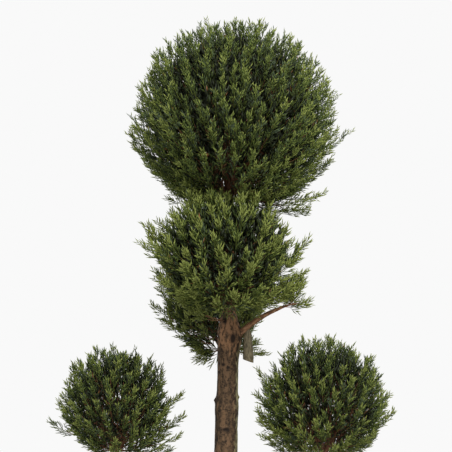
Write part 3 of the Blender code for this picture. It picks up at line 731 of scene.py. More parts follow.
# %% Compost's profile and finish
COMPOST_EDGE = 0.266
COMPOST_DOME = 0.006
COMPOST_COLUMNS = 220
inner_edge = pot_radius(COMPOST_EDGE) - POT_WALL - 1.2 * MM
compost_profile = rounded(
    (
        (0.002, POT_FLOOR + 0.0003, 0),
        (pot_radius(POT_FLOOR) - POT_WALL - 0.003, POT_FLOOR + 0.0003, 0.003),
        (inner_edge, COMPOST_EDGE, 0.003),
        (0.5 * inner_edge + 0.03, COMPOST_EDGE + 0.6 * COMPOST_DOME, 0.02),
        (0.060, COMPOST_EDGE + COMPOST_DOME, 0.02),
        (0.002, COMPOST_EDGE + COMPOST_DOME, 0),
    ),
    1.6 * MM,
)


def soil_height(points):
    """Crumbs of two sizes: noise folded about zero, a few millimetres high."""
    crumbs = 2.2 * MM * np.abs(rough(points / 0.011, 3, 81))
    return crumbs + 0.7 * MM * noise(points / 0.0028, 85) - 1.4 * MM


def compost_material():
    """Damp potting compost: dark brown peat with paler flecks of bark fibre."""
    made, tree, shader = new_material("potting_compost", "#33261b", 0.95, 0.2)
    where = add(tree, "TexCoord", out="Object")
    # crumbs about 6 mm across
    crumbs = add(tree, "TexNoise", where, links={"Scale": 160.0, "Detail": 5.0, "Roughness": 0.7})
    stops = ((0.35, "#1c140e"), (0.52, "#3a2b1e"), (0.72, "#6a5138"))
    tree.links.new(add(tree, "ValToRGB", crumbs, stops=stops), shader.inputs["Base Color"])
    bump = add(tree, "Bump", links={"Strength": 0.7, "Distance": 1.5 * MM, "Height": crumbs})
    tree.links.new(bump, shader.inputs["Normal"])
    return made


# %% Compost
soil = compost_material()
compost_grid, _ = turned_grid(compost_profile, COMPOST_COLUMNS)
inside = np.clip((inner_edge - compost_profile[:, :1]) / (4 * MM), 0, 1)
on_top = (compost_grid[..., 2] > COMPOST_EDGE - 4 * MM) * inside
compost_grid[..., 2] += soil_height(compost_grid * (1, 1, 0)) * on_top
soil_faces = skin_faces(*compost_grid.shape[:2])
mesh_piece("compost_surface", skin_points(compost_grid), soil_faces, [soil], "compost")
print("compost's triangles:", len(soil_faces))

# %% [markdown]
# Loose crumbs and flat chips of bark lie on the compost. Each is one ball of twenty faces, pulled
# out of shape: its corners move at random, and a chip is pressed flat. Its height comes from
# the compost's own rule, so that it rests on the surface.

# %% A ball of twenty faces
CRUMBS, CHIPS = 1100, 170
CRUMB_SIZES, CHIP_SIZES = (1.0 * MM, 2.6 * MM), (4 * MM, 8 * MM)
GOLDEN = (1 + 5**0.5) / 2
corners = [(0, a, b * GOLDEN) for a in (-1, 1) for b in (-1, 1)]
BALL = unit(np.array([np.roll(corner, turn) for turn in range(3) for corner in corners]))


def hull_faces(points):
    """The faces of the ball: each three corners that all lie one edge apart, turned outwards."""
    edge = np.linalg.norm(points[:, None] - points, axis=-1)
    near = edge < 1.2 * edge[edge > 0.01].min()
    threes = itertools.combinations(range(len(points)), 3)
    faces = [f for f in threes if near[f[0], f[1]] and near[f[1], f[2]] and near[f[0], f[2]]]
    a, b, c = (points[[f[i] for f in faces]] for i in range(3))
    outwards = (np.cross(b - a, c - a) * a).sum(axis=-1) > 0
    return np.array([f if way else f[::-1] for f, way in zip(faces, outwards)])


def bark_chip_material():
    """Composted bark chips: dull brown, with paler broken fibres 2 mm wide."""
    made, tree, shader = new_material("bark_chip", "#5a3f2b", 0.9, 0.2)
    where = add(tree, "TexCoord", out="Object")
    fibres = add(tree, "TexNoise", where, links={"Scale": 500.0, "Detail": 3.0})
    stops = ((0.35, "#38271b"), (0.52, "#5f442f"), (0.70, "#8a6a4b"))
    tree.links.new(add(tree, "ValToRGB", fibres, stops=stops), shader.inputs["Base Color"])
    return made


# %% Crumbs and chips
rng = np.random.default_rng(5)
many = CRUMBS + CHIPS
chip = np.arange(many) >= CRUMBS
reach = np.sqrt(rng.uniform(0.050**2, (inner_edge - 0.008) ** 2, many))
turn = rng.uniform(0, 2 * np.pi, many)
flat_place = np.stack([reach * np.cos(turn), reach * np.sin(turn), reach * 0], axis=-1)
upper = compost_profile[compost_profile[:, 1] > COMPOST_EDGE - 0.001][::-1]
ground = np.interp(reach, upper[:, 0], upper[:, 1]) + soil_height(flat_place)
chip_lengths, crumb_lengths = (rng.uniform(*sizes, many) for sizes in (CHIP_SIZES, CRUMB_SIZES))
length = np.where(chip, chip_lengths, crumb_lengths)
shape = np.where(chip[:, None], (1.0, 0.45, 0.16), (1.0, 0.8, 0.7)) * length[:, None]
first = unit(rng.normal(0, 1, (many, 3)) * np.where(chip[:, None], (1, 1, 0.2), (1, 1, 1)))
third = unit(np.cross(first, unit(np.cross((0.02, 0.03, 1.0), first) + 1e-6)))
second = np.cross(third, first)
lump = BALL[None] * (1 + 0.28 * rng.uniform(-1, 1, (many, len(BALL), 1))) * shape[:, None]
lump = lump[..., :1] * first[:, None] + lump[..., 1:2] * second[:, None] + lump[..., 2:] * third[:, None]
centre = flat_place + (ground + 0.35 * shape[:, 2])[:, None] * np.array([0, 0, 1.0])
points = (lump + centre[:, None]).reshape(-1, 3)
ball_faces = hull_faces(BALL)
faces = (ball_faces[None] + (np.arange(many) * len(BALL))[:, None, None]).reshape(-1, 3)
tints = np.repeat(chip.astype(int), len(ball_faces))
finishes = [soil, bark_chip_material()]
mesh_piece("compost_crumbs", points, faces, finishes, "compost", tints=tints)
print("crumbs and chips:", many, "triangles:", len(faces))

# %% [markdown]
# ## Cords and stems
# The finest branchlets of this conifer are cords of tiny overlapping scale leaves. Each is one
# closed spindle of six faces: a foot, three points round its thickest part, and a tip. Twigs are
# three- or four-sided tubes with a pointed cap at each end. Both are made thousands at a time.

# %% Cords and stems as arrays
CORD_POINTS = 5
CORD_FACES = np.array([[0, 2, 1], [0, 3, 2], [0, 1, 3], [4, 1, 2], [4, 2, 3], [4, 3, 1]])


def cords(feet, tips, widths, bows, turns):
    """Spindles: foot, ring and tip, five points each. A bow moves the thickest part sideways."""
    along = unit(tips - feet)
    side = unit(np.cross(along, (0.23, 0.41, 0.88)))
    up = np.cross(along, side)
    angle = (turns[:, None] + np.arange(3) * 2 * np.pi / 3)[..., None]
    ring = (side[:, None] * np.cos(angle) + up[:, None] * np.sin(angle)) * (widths / 2)[:, None, None]
    thickest = feet + (tips - feet) * 0.45 + bows
    return np.concatenate([feet[:, None], thickest[:, None] + ring, tips[:, None]], axis=1)


def cord_faces(count):
    """The faces of that many cords."""
    return (CORD_FACES[None] + (np.arange(count) * CORD_POINTS)[:, None, None]).reshape(-1, 3)


def stems(paths, radii, sides):
    """Tubes along many paths at once: points, and triangles with a fan over each end."""
    count, steps, _ = paths.shape
    along = unit(np.gradient(paths, axis=1))
    side = unit(np.cross(along, (0.31, 0.87, 0.05)))
    up = np.cross(along, side)
    angle = around(sides)[:, None]
    ring = side[:, :, None] * np.cos(angle) + up[:, :, None] * np.sin(angle)
    grid = (paths[:, :, None] + ring * radii[:, :, None, None]).reshape(count, -1, 3)
    points = np.concatenate([grid, paths[:, :1], paths[:, -1:]], axis=1)
    faces = skin_faces(steps, sides)[None] + (np.arange(count) * (steps * sides + 2))[:, None, None]
    return points.reshape(-1, 3), faces.reshape(-1, 3)


# %% [markdown]
# ## The heads' rules
# Each head is an egg-shaped space. Its shoots fan out from one point low in that space, which is
# why they rise steeply in the middle and lie flatter at the sides, and why a head is open below.
# The shears go round a head evenly, but they leave bulges and dents and miss a few long shoots.

# %% Heads: the rules
# middle, half-sizes, how many plumes, a plume's length, a spray's length, lowest angle, seed
Head = collections.namedtuple("Head", "middle half plumes plume spray lowest seed")
HEADS = {
    "top_head": Head((0.030, 0.005, 1.655), (0.250, 0.250, 0.240), 520, 0.140, 0.040, 146, 11),
    "middle_head": Head((0.011, -0.075, 1.318), (0.188, 0.170, 0.158), 200, 0.115, 0.040, 140, 23),
    "rear_head": Head((-0.025, 0.245, 1.183), (0.146, 0.150, 0.152), 110, 0.100, 0.038, 118, 37),
    "left_head": Head((-0.265, 0.020, 0.938), (0.138, 0.138, 0.146), 168, 0.088, 0.031, 140, 41),
    "right_head": Head((0.255, -0.015, 0.953), (0.162, 0.158, 0.160), 196, 0.098, 0.034, 140, 59),
}
FAN_SHARE = 0.84  # how far below the middle the fan point lies, as a share of the half-height
FAN_SHIFT = {"top_head": (-0.014, 0.0), "middle_head": (0.004, 0.028), "rear_head": (0.034, 0.0)}
CARRIERS = {"rear_head": "rear_limb", "left_head": "left_limb", "right_head": "right_limb"}
# where the shears left a head fuller or thinner than an even ball:
# compass angle from +X, angle down from the top, width of the place in degrees, change of reach
BULGES = {
    "top_head": (
        (0, 112, 20, 0.09), (0, 84, 16, 0.02), (180, 112, 15, 0.06), (180, 78, 18, -0.03),
        (180, 140, 14, 0.02), (0, 6, 18, -0.04),
    ),
    "middle_head": ((0, 66, 20, -0.18), (0, 50, 18, -0.10), (0, 112, 22, 0.05), (180, 100, 24, 0.0)),
    "rear_head": ((180, 126, 26, -0.23), (0, 120, 24, -0.12)),
    "left_head": ((0, 8, 20, -0.11), (0, 75, 14, -0.10), (0, 125, 18, 0.08), (190, 122, 17, -0.09)),
    "right_head": ((0, 28, 22, -0.14), (0, 66, 20, -0.05), (180, 58, 16, -0.12), (180, 115, 26, 0.04)),
}
# the long shoots: compass angle from +X, angle down from the top, reach
LONG_SHOOTS = {
    "top_head": (
        (-4, 98, 1.15), (183, 99, 1.06), (200, 118, 1.05), (80, 6, 1.02), (-6, 131, 1.20),
        (-20, 138, 1.16), (6, 142, 1.25), (-4, 138, 1.12), (-10, 141, 1.20), (0, 146, 1.16),
        (-14, 147, 1.14), (186, 142, 1.07),
    ),
    "middle_head": (
        (178, 83, 1.10), (176, 68, 1.14), (172, 76, 1.04), (-4, 80, 1.08), (-12, 118, 1.10),
        (-120, 24, 1.16), (-150, 31, 1.14), (-100, 15, 1.12), (-170, 24, 1.10),
    ),
    "rear_head": (
        (182, 94, 1.08), (182, 107, 0.98), (182, 124, 0.88), (-8, 134, 1.28), (60, 50, 1.06),
        (-6, 133, 1.06), (14, 136, 1.00), (-24, 136, 0.98),
    ),
    "left_head": (
        (186, 104, 1.22), (-6, 82, 1.20), (4, 100, 1.24), (0, 116, 1.28), (-8, 128, 1.26),
        (210, 50, 1.10),
    ),
    "right_head": (
        (-3, 100, 1.08), (178, 68, 1.08), (188, 108, 1.06), (190, 120, 1.12), (90, 70, 1.05),
    ),
}
# low shoots that hang over the stems, inside the head's reach
LOW_SHOOTS = {
    "middle_head": (
        (205, 137, 0.92), (222, 146, 0.86), (262, 150, 0.90), (292, 150, 0.92), (320, 140, 0.94),
    ),
    "rear_head": (
        (180, 166, 1.04), (182, 151, 0.86), (185, 141, 0.82), (180, 166, 0.80), (182, 158, 0.86),
        (182, 151, 0.76), (165, 160, 0.84), (200, 160, 0.84),
    ),
}
# bend and tip of the leader, the thin end that goes on from the middle limb, metres
LEADER = ((0.160, -0.046, 1.191), (0.189, -0.050, 1.194))
LEADER_RADII = (4.2 * MM, 1.1 * MM)
# tips of the shoots that grow from the leader, metres
LIMB_SHOOTS = (
    (0.164, -0.040, 1.207), (0.207, -0.042, 1.192), (0.194, -0.062, 1.246), (0.160, -0.088, 1.218),
    (0.178, 0.000, 1.238),
)
# low shoots in front of the fork, which grow from the trunk itself
FORK_SHOOTS = (
    (-0.112, -0.130, 1.214), (-0.094, -0.118, 1.196), (-0.080, -0.108, 1.174), (-0.060, -0.130, 1.190),
)
FORK_SHOOT_FOOT = 1.150  # height on the trunk
FORK_SHOOT_BARE = 0.42  # the share of such a shoot that bears no sprays

# %% [markdown]
# A head isn't closed all round. In two places one looks in between the plumes at the stems, and
# at the thin sides the sky shows through small gaps. Where two heads meet, each keeps the space
# that is nearer to it. The middle head pushes up a little in front of the top one.

# %% Openings and borders
# places where a head has no plumes, so that one looks in at its stems:
# compass angle, angle down, half-width and half-height in degrees
MOUTHS = {"top_head": ((-98, 130, 13, 17),), "middle_head": ((-93, 74, 7, 10),)}
# gaps right through the thin sides of a head: x, z, half-width and half-height in metres
WINDOWS = {
    "middle_head": (
        (0.171, 1.323, 0.008, 0.012), (0.155, 1.278, 0.010, 0.013), (0.137, 1.248, 0.006, 0.005),
        (0.137, 1.375, 0.007, 0.008), (0.082, 1.364, 0.009, 0.004), (-0.122, 1.321, 0.005, 0.007),
        (0.159, 1.358, 0.010, 0.006),
    ),
    "rear_head": (
        (-0.125, 1.129, 0.007, 0.007), (-0.083, 1.106, 0.007, 0.008), (-0.045, 1.066, 0.008, 0.007),
        (-0.131, 1.104, 0.012, 0.006), (-0.164, 1.149, 0.006, 0.008), (0.118, 1.066, 0.010, 0.005),
    ),
}
PUSH = {"middle_head": 0.85}  # this head's own distances count for less, so it gains room


def in_window(name, points):
    """Whether points lie in one of a head's gaps, which run from front to back."""
    inside = np.zeros(points.shape[:-1], bool)
    for x, z, wide, tall in WINDOWS.get(name, ()):
        inside |= np.hypot((points[..., 0] - x) / wide, (points[..., 2] - z) / tall) < 1
    return inside


def in_mouth(name, aims):
    """Whether directions lie in one of a head's openings, each an ellipse of angles."""
    angle, down = np.degrees(np.arctan2(aims[:, 1], aims[:, 0])), np.degrees(np.arccos(aims[:, 2]))
    inside = np.zeros(len(aims), bool)
    for middle_angle, middle_down, wide, tall in MOUTHS.get(name, ()):
        turn = (angle - middle_angle + 180) % 360 - 180
        inside |= np.hypot(turn / wide, (down - middle_down) / tall) < 1
    return inside


# %% Shares and directions
def head_frame(name):
    """The head's middle, half-sizes and fan point."""
    middle, half = np.array(HEADS[name].middle), np.array(HEADS[name].half)
    return middle, half, middle + np.array([*FAN_SHIFT.get(name, (0.0, 0.0)), -FAN_SHARE * half[2]])


def head_share(name, points):
    """How far out points lie in a head: 0 at its middle, 1 on its clipped surface."""
    middle, half, _ = head_frame(name)
    return np.linalg.norm((points - middle) / half, axis=-1)


def in_own_space(name, points):
    """Whether points are nearer, as shares, to this head than to every other head."""
    own = head_share(name, points) * PUSH.get(name, 1.0)
    return np.all([own < head_share(other, points) for other in HEADS if other != name], axis=0)


def aim(angle, down):
    """Unit vectors from a compass angle and an angle down from straight up."""
    return np.stack([np.sin(down) * np.cos(angle), np.sin(down) * np.sin(angle), np.cos(down)], axis=-1)


def fullness(name, aims):
    """How far the head reaches in each direction against an even ball, by its bulges and dents."""
    change = np.zeros(len(aims))
    for angle, down, width, much in BULGES[name]:
        turn = np.degrees(np.arccos(np.clip(aims @ aim(*np.radians((angle, down))), -1, 1)))
        change += much * np.exp(-((turn / width) ** 2))
    return 1 + change


def even_aims(count, lowest, rng):
    """Directions an even distance apart, turning by the golden angle from the top downwards."""
    i = np.arange(count)
    level = 1 - (1 - np.cos(np.radians(lowest))) * (i + 0.5) / count
    level = np.clip(level + rng.uniform(-0.6, 0.6, count) / count, -1, 1)
    return aim(i * np.pi * (3 - 5**0.5) + rng.uniform(-0.12, 0.12, count), np.arccos(level))


print("plumes in all:", sum(head.plumes for head in HEADS.values()))

# %% [markdown]
# ## Growing the foliage
# The visible unit is a plume: a slender stem about a hand long, with side sprays all round it,
# longest at its foot and shortest at its tip. Its foot lies on the straight line from the fan
# point, and its stem sags a little and then turns upwards to the light. Each spray bears cords on
# alternate sides. Between the plumes one looks into the dark of the head. A few of the middle
# head's plumes grow from its leader or straight from the trunk.

# %% Plumes
UPTURN = 0.46  # how strongly a plume's tip turns up
# how far out plumes end: least and most, against the head's half-sizes
REACH = {
    "middle_head": (0.82, 1.06),
    "rear_head": (0.82, 1.02),
    "left_head": (0.88, 1.02),
    "right_head": (0.88, 1.02),
}


def leader_line(shares):
    """Points and headings along the leader, from the middle limb's tip."""
    return curve(LIMBS["middle_limb"][2], *LEADER, shares)


def loose_plumes(rng):
    """The middle head's plumes on the leader and on the trunk: feet, bends and tips."""
    starts = leader_line(rng.uniform(0.1, 0.8, len(LIMB_SHOOTS)))[0]
    low_ends, foot = np.array(FORK_SHOOTS), trunk_line(FORK_SHOOT_FOOT)
    towards = unit((low_ends - foot) * (1, 1, 0))
    starts = np.concatenate([starts, foot + towards * (trunk_radius(FORK_SHOOT_FOOT) - 2 * MM)])
    ends = np.concatenate([LIMB_SHOOTS, low_ends])
    reach = np.linalg.norm(ends - starts, axis=-1, keepdims=True)
    return starts, (starts + ends) / 2 - (0, 0, 0.10) * reach, ends


def grow_plumes(name, rng):
    """Every plume of a head: its foot, bend and tip."""
    head = HEADS[name]
    middle, half, fan = head_frame(name)
    aims = even_aims(head.plumes, head.lowest, rng)
    aims = aims[~in_mouth(name, aims)]
    lumps = 1 + 0.05 * noise(aims * 2.7 + head.seed, head.seed)
    reach = rng.uniform(*REACH.get(name, (0.93, 1.02)), len(aims)) * lumps
    reach = np.minimum(reach, 1.04) * fullness(name, aims)
    shoots = np.array(LONG_SHOOTS[name] + LOW_SHOOTS.get(name, ()), float)
    aims = np.concatenate([aims, aim(np.radians(shoots[:, 0]), np.radians(shoots[:, 1]))])
    reach = np.concatenate([reach, shoots[:, 2]])
    tips = middle + aims * half * reach[:, None]
    out = unit(tips - fan + rng.normal(0, 0.012, tips.shape))
    heading = unit(out + np.array([0, 0, UPTURN]) * (1 - out[:, 2:] ** 2))
    lengths = (head.plume * rng.uniform(0.85, 1.2, len(tips)))[:, None]
    lengths = np.minimum(lengths, 0.85 * np.linalg.norm(tips - fan, axis=-1, keepdims=True))
    bends = tips - heading * 0.45 * lengths
    feet = tips - unit(tips - fan) * lengths
    if name == "middle_head":
        plumes = zip((feet, bends, tips), loose_plumes(rng))
        feet, bends, tips = (np.concatenate(pair) for pair in plumes)
    return feet, bends, tips


# %% Sprays on a plume
FULL_TURN = 6.28  # radians
SPRAYS = 11  # side sprays on a plume; one more goes on along the plume's own tip
SPRAY_PLACES, TIP_SPRAY_PLACE = (0.14, 0.92), 0.80  # shares of the plume
SPRAY_TURN = 2.4  # radians from each to the next round the plume, about the golden angle
SPRAY_SPREAD, SPRAY_SPREAD_DROP = 0.60, 0.30  # radians off the plume, and the drop to its tip
SPRAY_SIZE, SPRAY_SIZE_DROP = 1.12, 0.64  # lengths in the same way, as shares of the head's own
SPRAY_LIFT = (0, 0, 0.10)  # it reaches up a little, to the light


def grow_sprays(name, feet, bends, tips, rng):
    """Side sprays round each plume, turning by the golden angle: feet, tips, place and flat.

    A spray's angle to the plume and its length both shrink towards the plume's tip.
    """
    many = len(feet)
    place = np.linspace(*SPRAY_PLACES, SPRAYS) + rng.uniform(-0.03, 0.03, (many, SPRAYS))
    place = np.concatenate([place, np.full((many, 1), TIP_SPRAY_PLACE)], axis=1)
    where, heading = curve(feet, bends, tips, place)
    side = unit(np.cross(heading, (0.2, 0.9, 0.1)))
    up = np.cross(heading, side)
    turn = np.arange(SPRAYS + 1) * SPRAY_TURN + rng.uniform(0, FULL_TURN, (many, 1))
    turn = (turn + rng.uniform(-0.4, 0.4, turn.shape))[..., None]
    out = side * np.cos(turn) + up * np.sin(turn)
    spread = (SPRAY_SPREAD - SPRAY_SPREAD_DROP * place) * rng.uniform(0.7, 1.25, place.shape)
    sizes = HEADS[name].spray * (SPRAY_SIZE - SPRAY_SIZE_DROP * place)
    sizes = sizes * rng.uniform(0.8, 1.2, place.shape)
    spread[:, -1] = 0.0
    sizes[:, -1] = np.linalg.norm(tips - where[:, -1], axis=-1)
    spread = spread[..., None]
    axis = unit(heading * np.cos(spread) + out * np.sin(spread) + SPRAY_LIFT)
    flat = unit(np.cross(axis, out + rng.normal(0, 0.35, out.shape)))
    return where, where + axis * sizes[..., None], place, flat


print("sprays on a plume:", SPRAYS + 1)

# %% Cords on a spray
CORDS = 6  # side cords on a spray; one more ends it
CORD_PLACES, TIP_CORD_PLACE = (0.14, 0.84), 0.62  # shares of the spray
CORD_SPREAD = 0.50  # radians off the spray
CORD_SIZE, CORD_SIZE_DROP = 0.60, 0.28  # shares of the spray's length
SHORTEST_CORD = 12 * MM
CORD_STRETCH = {"middle_head": 1.3, "rear_head": 1.2}  # the less clipped heads have longer cords
CORD_LIFT = (0, 0, 0.08)


def grow_cords(feet, tips, flat, rng, longer=1.0):
    """Cords on alternate sides of each spray: feet, tips, bows and place along the spray."""
    many = len(feet)
    run = tips - feet
    size = np.linalg.norm(run, axis=-1)[:, None]
    axis = unit(run)[:, None]
    place = np.linspace(*CORD_PLACES, CORDS) + rng.uniform(-0.03, 0.03, (many, CORDS))
    place = np.concatenate([place, np.full((many, 1), TIP_CORD_PLACE)], axis=1)
    hand = np.where(np.arange(CORDS + 1) % 2, 1.0, -1.0)[:, None]
    normal = np.cross(unit(run), flat)[:, None]
    out = unit(flat[:, None] * hand + normal * rng.normal(0, 0.35, (*place.shape, 1)))
    spread = CORD_SPREAD * rng.uniform(0.7, 1.3, place.shape)
    lengths = np.maximum(size * (CORD_SIZE - CORD_SIZE_DROP * place), SHORTEST_CORD)
    lengths = lengths * rng.uniform(0.8, 1.2, place.shape) * longer
    spread[:, -1] = 0.0
    lengths[:, -1] = 0.40 * size[:, 0]
    spread, lengths = spread[..., None], lengths[..., None]
    starts = feet[:, None] + run[:, None] * place[..., None]
    ends = starts + (axis * np.cos(spread) + out * np.sin(spread) + CORD_LIFT) * lengths
    return starts, ends, out * lengths * 0.06, place


print("cords on a plume at most:", (SPRAYS + 1) * (CORDS + 1))

# %% [markdown]
# ## Foliage colours
# The scale leaves are waxy and a little glossy. Colour is dealt out by spray and cord from plain
# tints: nearly black-green in the depth, as painted shade, mid green in the body, yellow-green on new
# tips, lighter tints as painted light on the outer and upward-pointing cords, a blue-grey cast on some
# sprays and rust on the few that have died.

# %% Tints
TINTS = {
    "scale_leaf_depth": "#191e0e",
    "scale_leaf_shade": "#273117",
    "scale_leaf_dim": "#36421e",
    "scale_leaf_green": "#475525",
    "scale_leaf_fresh": "#5f6c2e",
    "scale_leaf_tip": "#7b8440",
    "scale_leaf_grey": "#45523a",
    "scale_leaf_rust": "#6f4a2a",
}
TINT_ORDER = list(TINTS)
LEAF_SHINE, TWIG_SHINE = (0.58, 0.22), (0.75, 0.25)  # roughness and specular level
leaf_materials = [new_material(name, colour, *LEAF_SHINE)[0] for name, colour in TINTS.items()]
TWIG_TINTS = {"twig_bark": "#684530", "tan_twig": "#846042", "green_twig": "#65702f"}
twig_materials = [new_material(name, colour, *TWIG_SHINE)[0] for name, colour in TWIG_TINTS.items()]
# how light each head is beside the others
TONE = {"top_head": 0.0, "middle_head": 0.25, "rear_head": 0.31, "left_head": 0.06, "right_head": 0.12}
GREY_SHARE, RUST_SHARE = 0.16, 0.012  # of the sprays, and of the cords


def deal_tints(name, tips, aims, spray_place, cord_place, plume_mood, rng):
    """A tint for each cord: lighter further out, near a spray's or plume's tip, and pointing up.

    Further out and pointing up is painted light. A cord is also a little lighter low in its head.
    """
    depth = head_share(name, tips)
    # darker deeper in the head, as painted shade, and lighter towards a plume's tip
    light = 0.42 + 1.8 * (np.minimum(depth, 1.02) - 0.92) + 0.40 * (spray_place - 0.5)[:, None]
    # lighter towards a spray's tip, and pointing up as painted light from above
    light = light + 0.30 * (cord_place - 0.5) + 0.10 * aims[..., 2] + plume_mood[:, None] + TONE[name]
    middle, half, _ = head_frame(name)
    light = light - 0.13 * (tips[..., 2] - middle[2]) / half[2]
    light = light + rng.normal(0, 0.07, (len(tips), 1)) + rng.normal(0, 0.11, depth.shape)
    tint = np.clip((light * 6).astype(int), 0, 5)
    grey = (rng.random((len(tips), 1)) < GREY_SHARE) & (tint > 1) & (tint < 5)
    rust = (rng.random(depth.shape) < RUST_SHARE) & (depth < 0.93)
    tint = np.where(grey, TINT_ORDER.index("scale_leaf_grey"), tint)
    return np.where(rust, TINT_ORDER.index("scale_leaf_rust"), tint)


# %% [markdown]
# ## Boughs and twigs
# From the fan point a few boughs spread into the head, and a twig leads from the nearest bough to
# each plume. Where a twig would have to pass through the trunk, it grows from the trunk itself.

# %% Boughs and twigs
BOUGHS = {"top_head": 19, "middle_head": 16, "rear_head": 12, "left_head": 12, "right_head": 12}
BOUGH_RADIUS = {"top_head": 4.2 * MM}  # the others' boughs are thinner
THIN_BOUGH = 3.4 * MM
MIDDLE_STEM_HEIGHT = 1.168
MIDDLE_STEM_RADIUS = 0.011


def grow_boughs(name, rng):
    """Quadratic boughs from the fan point to over half way out: starts, bends and ends."""
    middle, half, fan = head_frame(name)
    aims = even_aims(BOUGHS[name], HEADS[name].lowest - 8, rng)
    ends = middle + aims * half * rng.uniform(0.50, 0.64, (len(aims), 1))
    bends = fan + (ends - fan) * 0.5 + aims * (1, 1, 0) * half * 0.07
    return np.tile(fan, (len(ends), 1)), bends, ends


def grow_twigs(name, boughs, feet, headings, rng):
    """A twig from the best bough to each plume's foot; from the trunk where it would cut it."""
    starts, bends, ends = boughs
    match = unit(feet - starts[0]) @ unit(ends - starts).T
    best = match.argmax(axis=1)
    share = rng.uniform(0.45, 0.95, (len(feet), 1))
    where, along = curve(starts[best], bends[best], ends[best], share)
    where, along = where[:, 0], along[:, 0]
    reach = np.linalg.norm(feet - where, axis=-1)[:, None]
    turns = (where + along * reach * 0.4 + feet - headings * reach * 0.35) / 2
    path, _ = curve(where, turns, feet, np.broadcast_to(np.linspace(0, 1, 9), (len(feet), 9)))
    cut = (wood_gap(path).min(axis=1) < 1 * MM) & (name not in CARRIERS)
    heights = np.clip(feet[:, 2] - 0.03, FORK_HEIGHT + 0.035, TRUNK_TOP - 0.01)
    line = trunk_line(heights)
    out = unit((feet - line) * (1, 1, 0))
    from_trunk = line + out * (trunk_radius(heights) - 2 * MM)[:, None]
    where = np.where(cut[:, None], from_trunk, where)
    return where, np.where(cut[:, None], (where + feet) / 2, turns), feet


def stem_line(name, shares):
    """A head's stem, from what carries it to its fan point: middles, headings and radii."""
    fan = head_frame(name)[2]
    if name == "top_head":
        foot, along, radius = trunk_line(TRUNK_TOP - 0.004), np.array([0, 0, 1.0]), trunk_radius(TRUNK_TOP)
    elif name == "middle_head":
        foot, radius = trunk_line(MIDDLE_STEM_HEIGHT), MIDDLE_STEM_RADIUS
        along = np.array([0, -0.894, 0.447])  # forwards and up, two to one
    else:
        middles, headings, radii = limb_line(CARRIERS[name], np.array([0.99, 1.0]))
        foot, along, radius = middles[0], headings[-1], radii[-1]
    reach = np.linalg.norm(fan - foot)
    middles, headings = curve(foot, foot + along * reach * 0.5, fan, shares)
    return middles, headings, radius * (1 - 0.35 * shares)


# %% [markdown]
# Inside the outer plumes there is older foliage, coarse, on bare brown twigs. Its nearly black tints
# are partly its own colour and partly painted shade. It stops the light from passing through the
# head. It thins out towards the open foot.

# %% Inner foliage
INNER_LENGTHS, INNER_ROOM = (24 * MM, 40 * MM), 6 * MM  # the old cords' lengths, and their room
INNER = {"top_head": 5200, "middle_head": 1650, "rear_head": 800, "left_head": 700, "right_head": 1000}


def grow_inner(name, rng):
    """Coarse old cords at random places inside a head, pointing away from the fan point."""
    middle, half, fan = head_frame(name)
    count = INNER[name]
    aims = unit(rng.normal(0, 1, (count, 3)))
    share = rng.uniform(0.15, 1, (count, 1)) ** 0.5 * 0.80
    feet = middle + aims * half * share
    out = unit(unit(feet - fan) + rng.normal(0, 0.35, feet.shape))
    tips = feet + out * rng.uniform(*INNER_LENGTHS, (count, 1))
    keep = (wood_gap(tips) > INNER_ROOM) & (wood_gap(feet) > INNER_ROOM)
    keep &= feet[:, 2] > fan[2] + 0.16 * half[2]
    keep &= in_own_space(name, tips) & (head_share(name, tips) < 0.9)
    keep &= ~in_mouth(name, unit((tips - middle) / half)) | (head_share(name, tips) < 0.35)
    keep &= ~in_window(name, tips) & ~in_window(name, (feet + tips) / 2) & ~in_window(name, feet)
    return feet[keep], tips[keep]


# %% [markdown]
# A head's cords are joined into meshes of under 190,000 triangles. A cord or spray that would
# touch the wood, lie in a gap or stand in another head's space is left out.

# %% The leaves of a head
FOLIAGE_ROOM, SPRAY_ROOM = 3.5 * MM, 8 * MM  # how far cords and sprays' tips stay off the wood
MOOD = 0.09  # how much a whole plume's lightness varies
CORD_WIDTH, CORD_SLENDER = 1.5 * MM, 0.078  # a cord's width: so much, and a share of its length


def some(keep, *arrays):
    """The kept rows of each array."""
    return [array[keep] for array in arrays]


def outer_cords(name, plumes, rng):
    """A head's sprays and the cords on them: the sprays' feet and tips, the cords and tints."""
    where, ends, place, flat = grow_sprays(name, *plumes, rng)
    where, ends, flat, place = (*(v.reshape(-1, 3) for v in (where, ends, flat)), place.ravel())
    count = len(plumes[0])
    plume = np.repeat(np.arange(count), SPRAYS + 1)
    keep = in_own_space(name, ends) & (wood_gap(ends) > SPRAY_ROOM) & (wood_gap(where) > FOLIAGE_ROOM)
    if name == "middle_head":
        keep &= (plume < count - len(FORK_SHOOTS)) | (place > FORK_SHOOT_BARE)
    where, ends, place, flat, plume = some(keep, where, ends, place, flat, plume)
    starts, stops, bows, along = grow_cords(where, ends, flat, rng, CORD_STRETCH.get(name, 1.0))
    mood = rng.normal(0, MOOD, count)[plume]
    tints = deal_tints(name, stops, unit(stops - starts), place, along, mood, rng)
    keep = (wood_gap(stops) > FOLIAGE_ROOM) & (wood_gap(starts) > FOLIAGE_ROOM)
    keep &= in_own_space(name, stops)
    keep &= ~in_window(name, stops) & ~in_window(name, (starts + stops) / 2)
    starts, stops, bows, tints = some(keep, starts, stops, bows, tints)
    widths = CORD_WIDTH + CORD_SLENDER * np.linalg.norm(stops - starts, axis=-1)
    widths = widths * rng.uniform(0.85, 1.15, len(widths))
    return where, ends, cords(starts, stops, widths, bows, rng.uniform(0, FULL_TURN, len(widths))), tints


# %% Inner cords and pieces
INNER_WIDTHS = (6 * MM, 10 * MM)
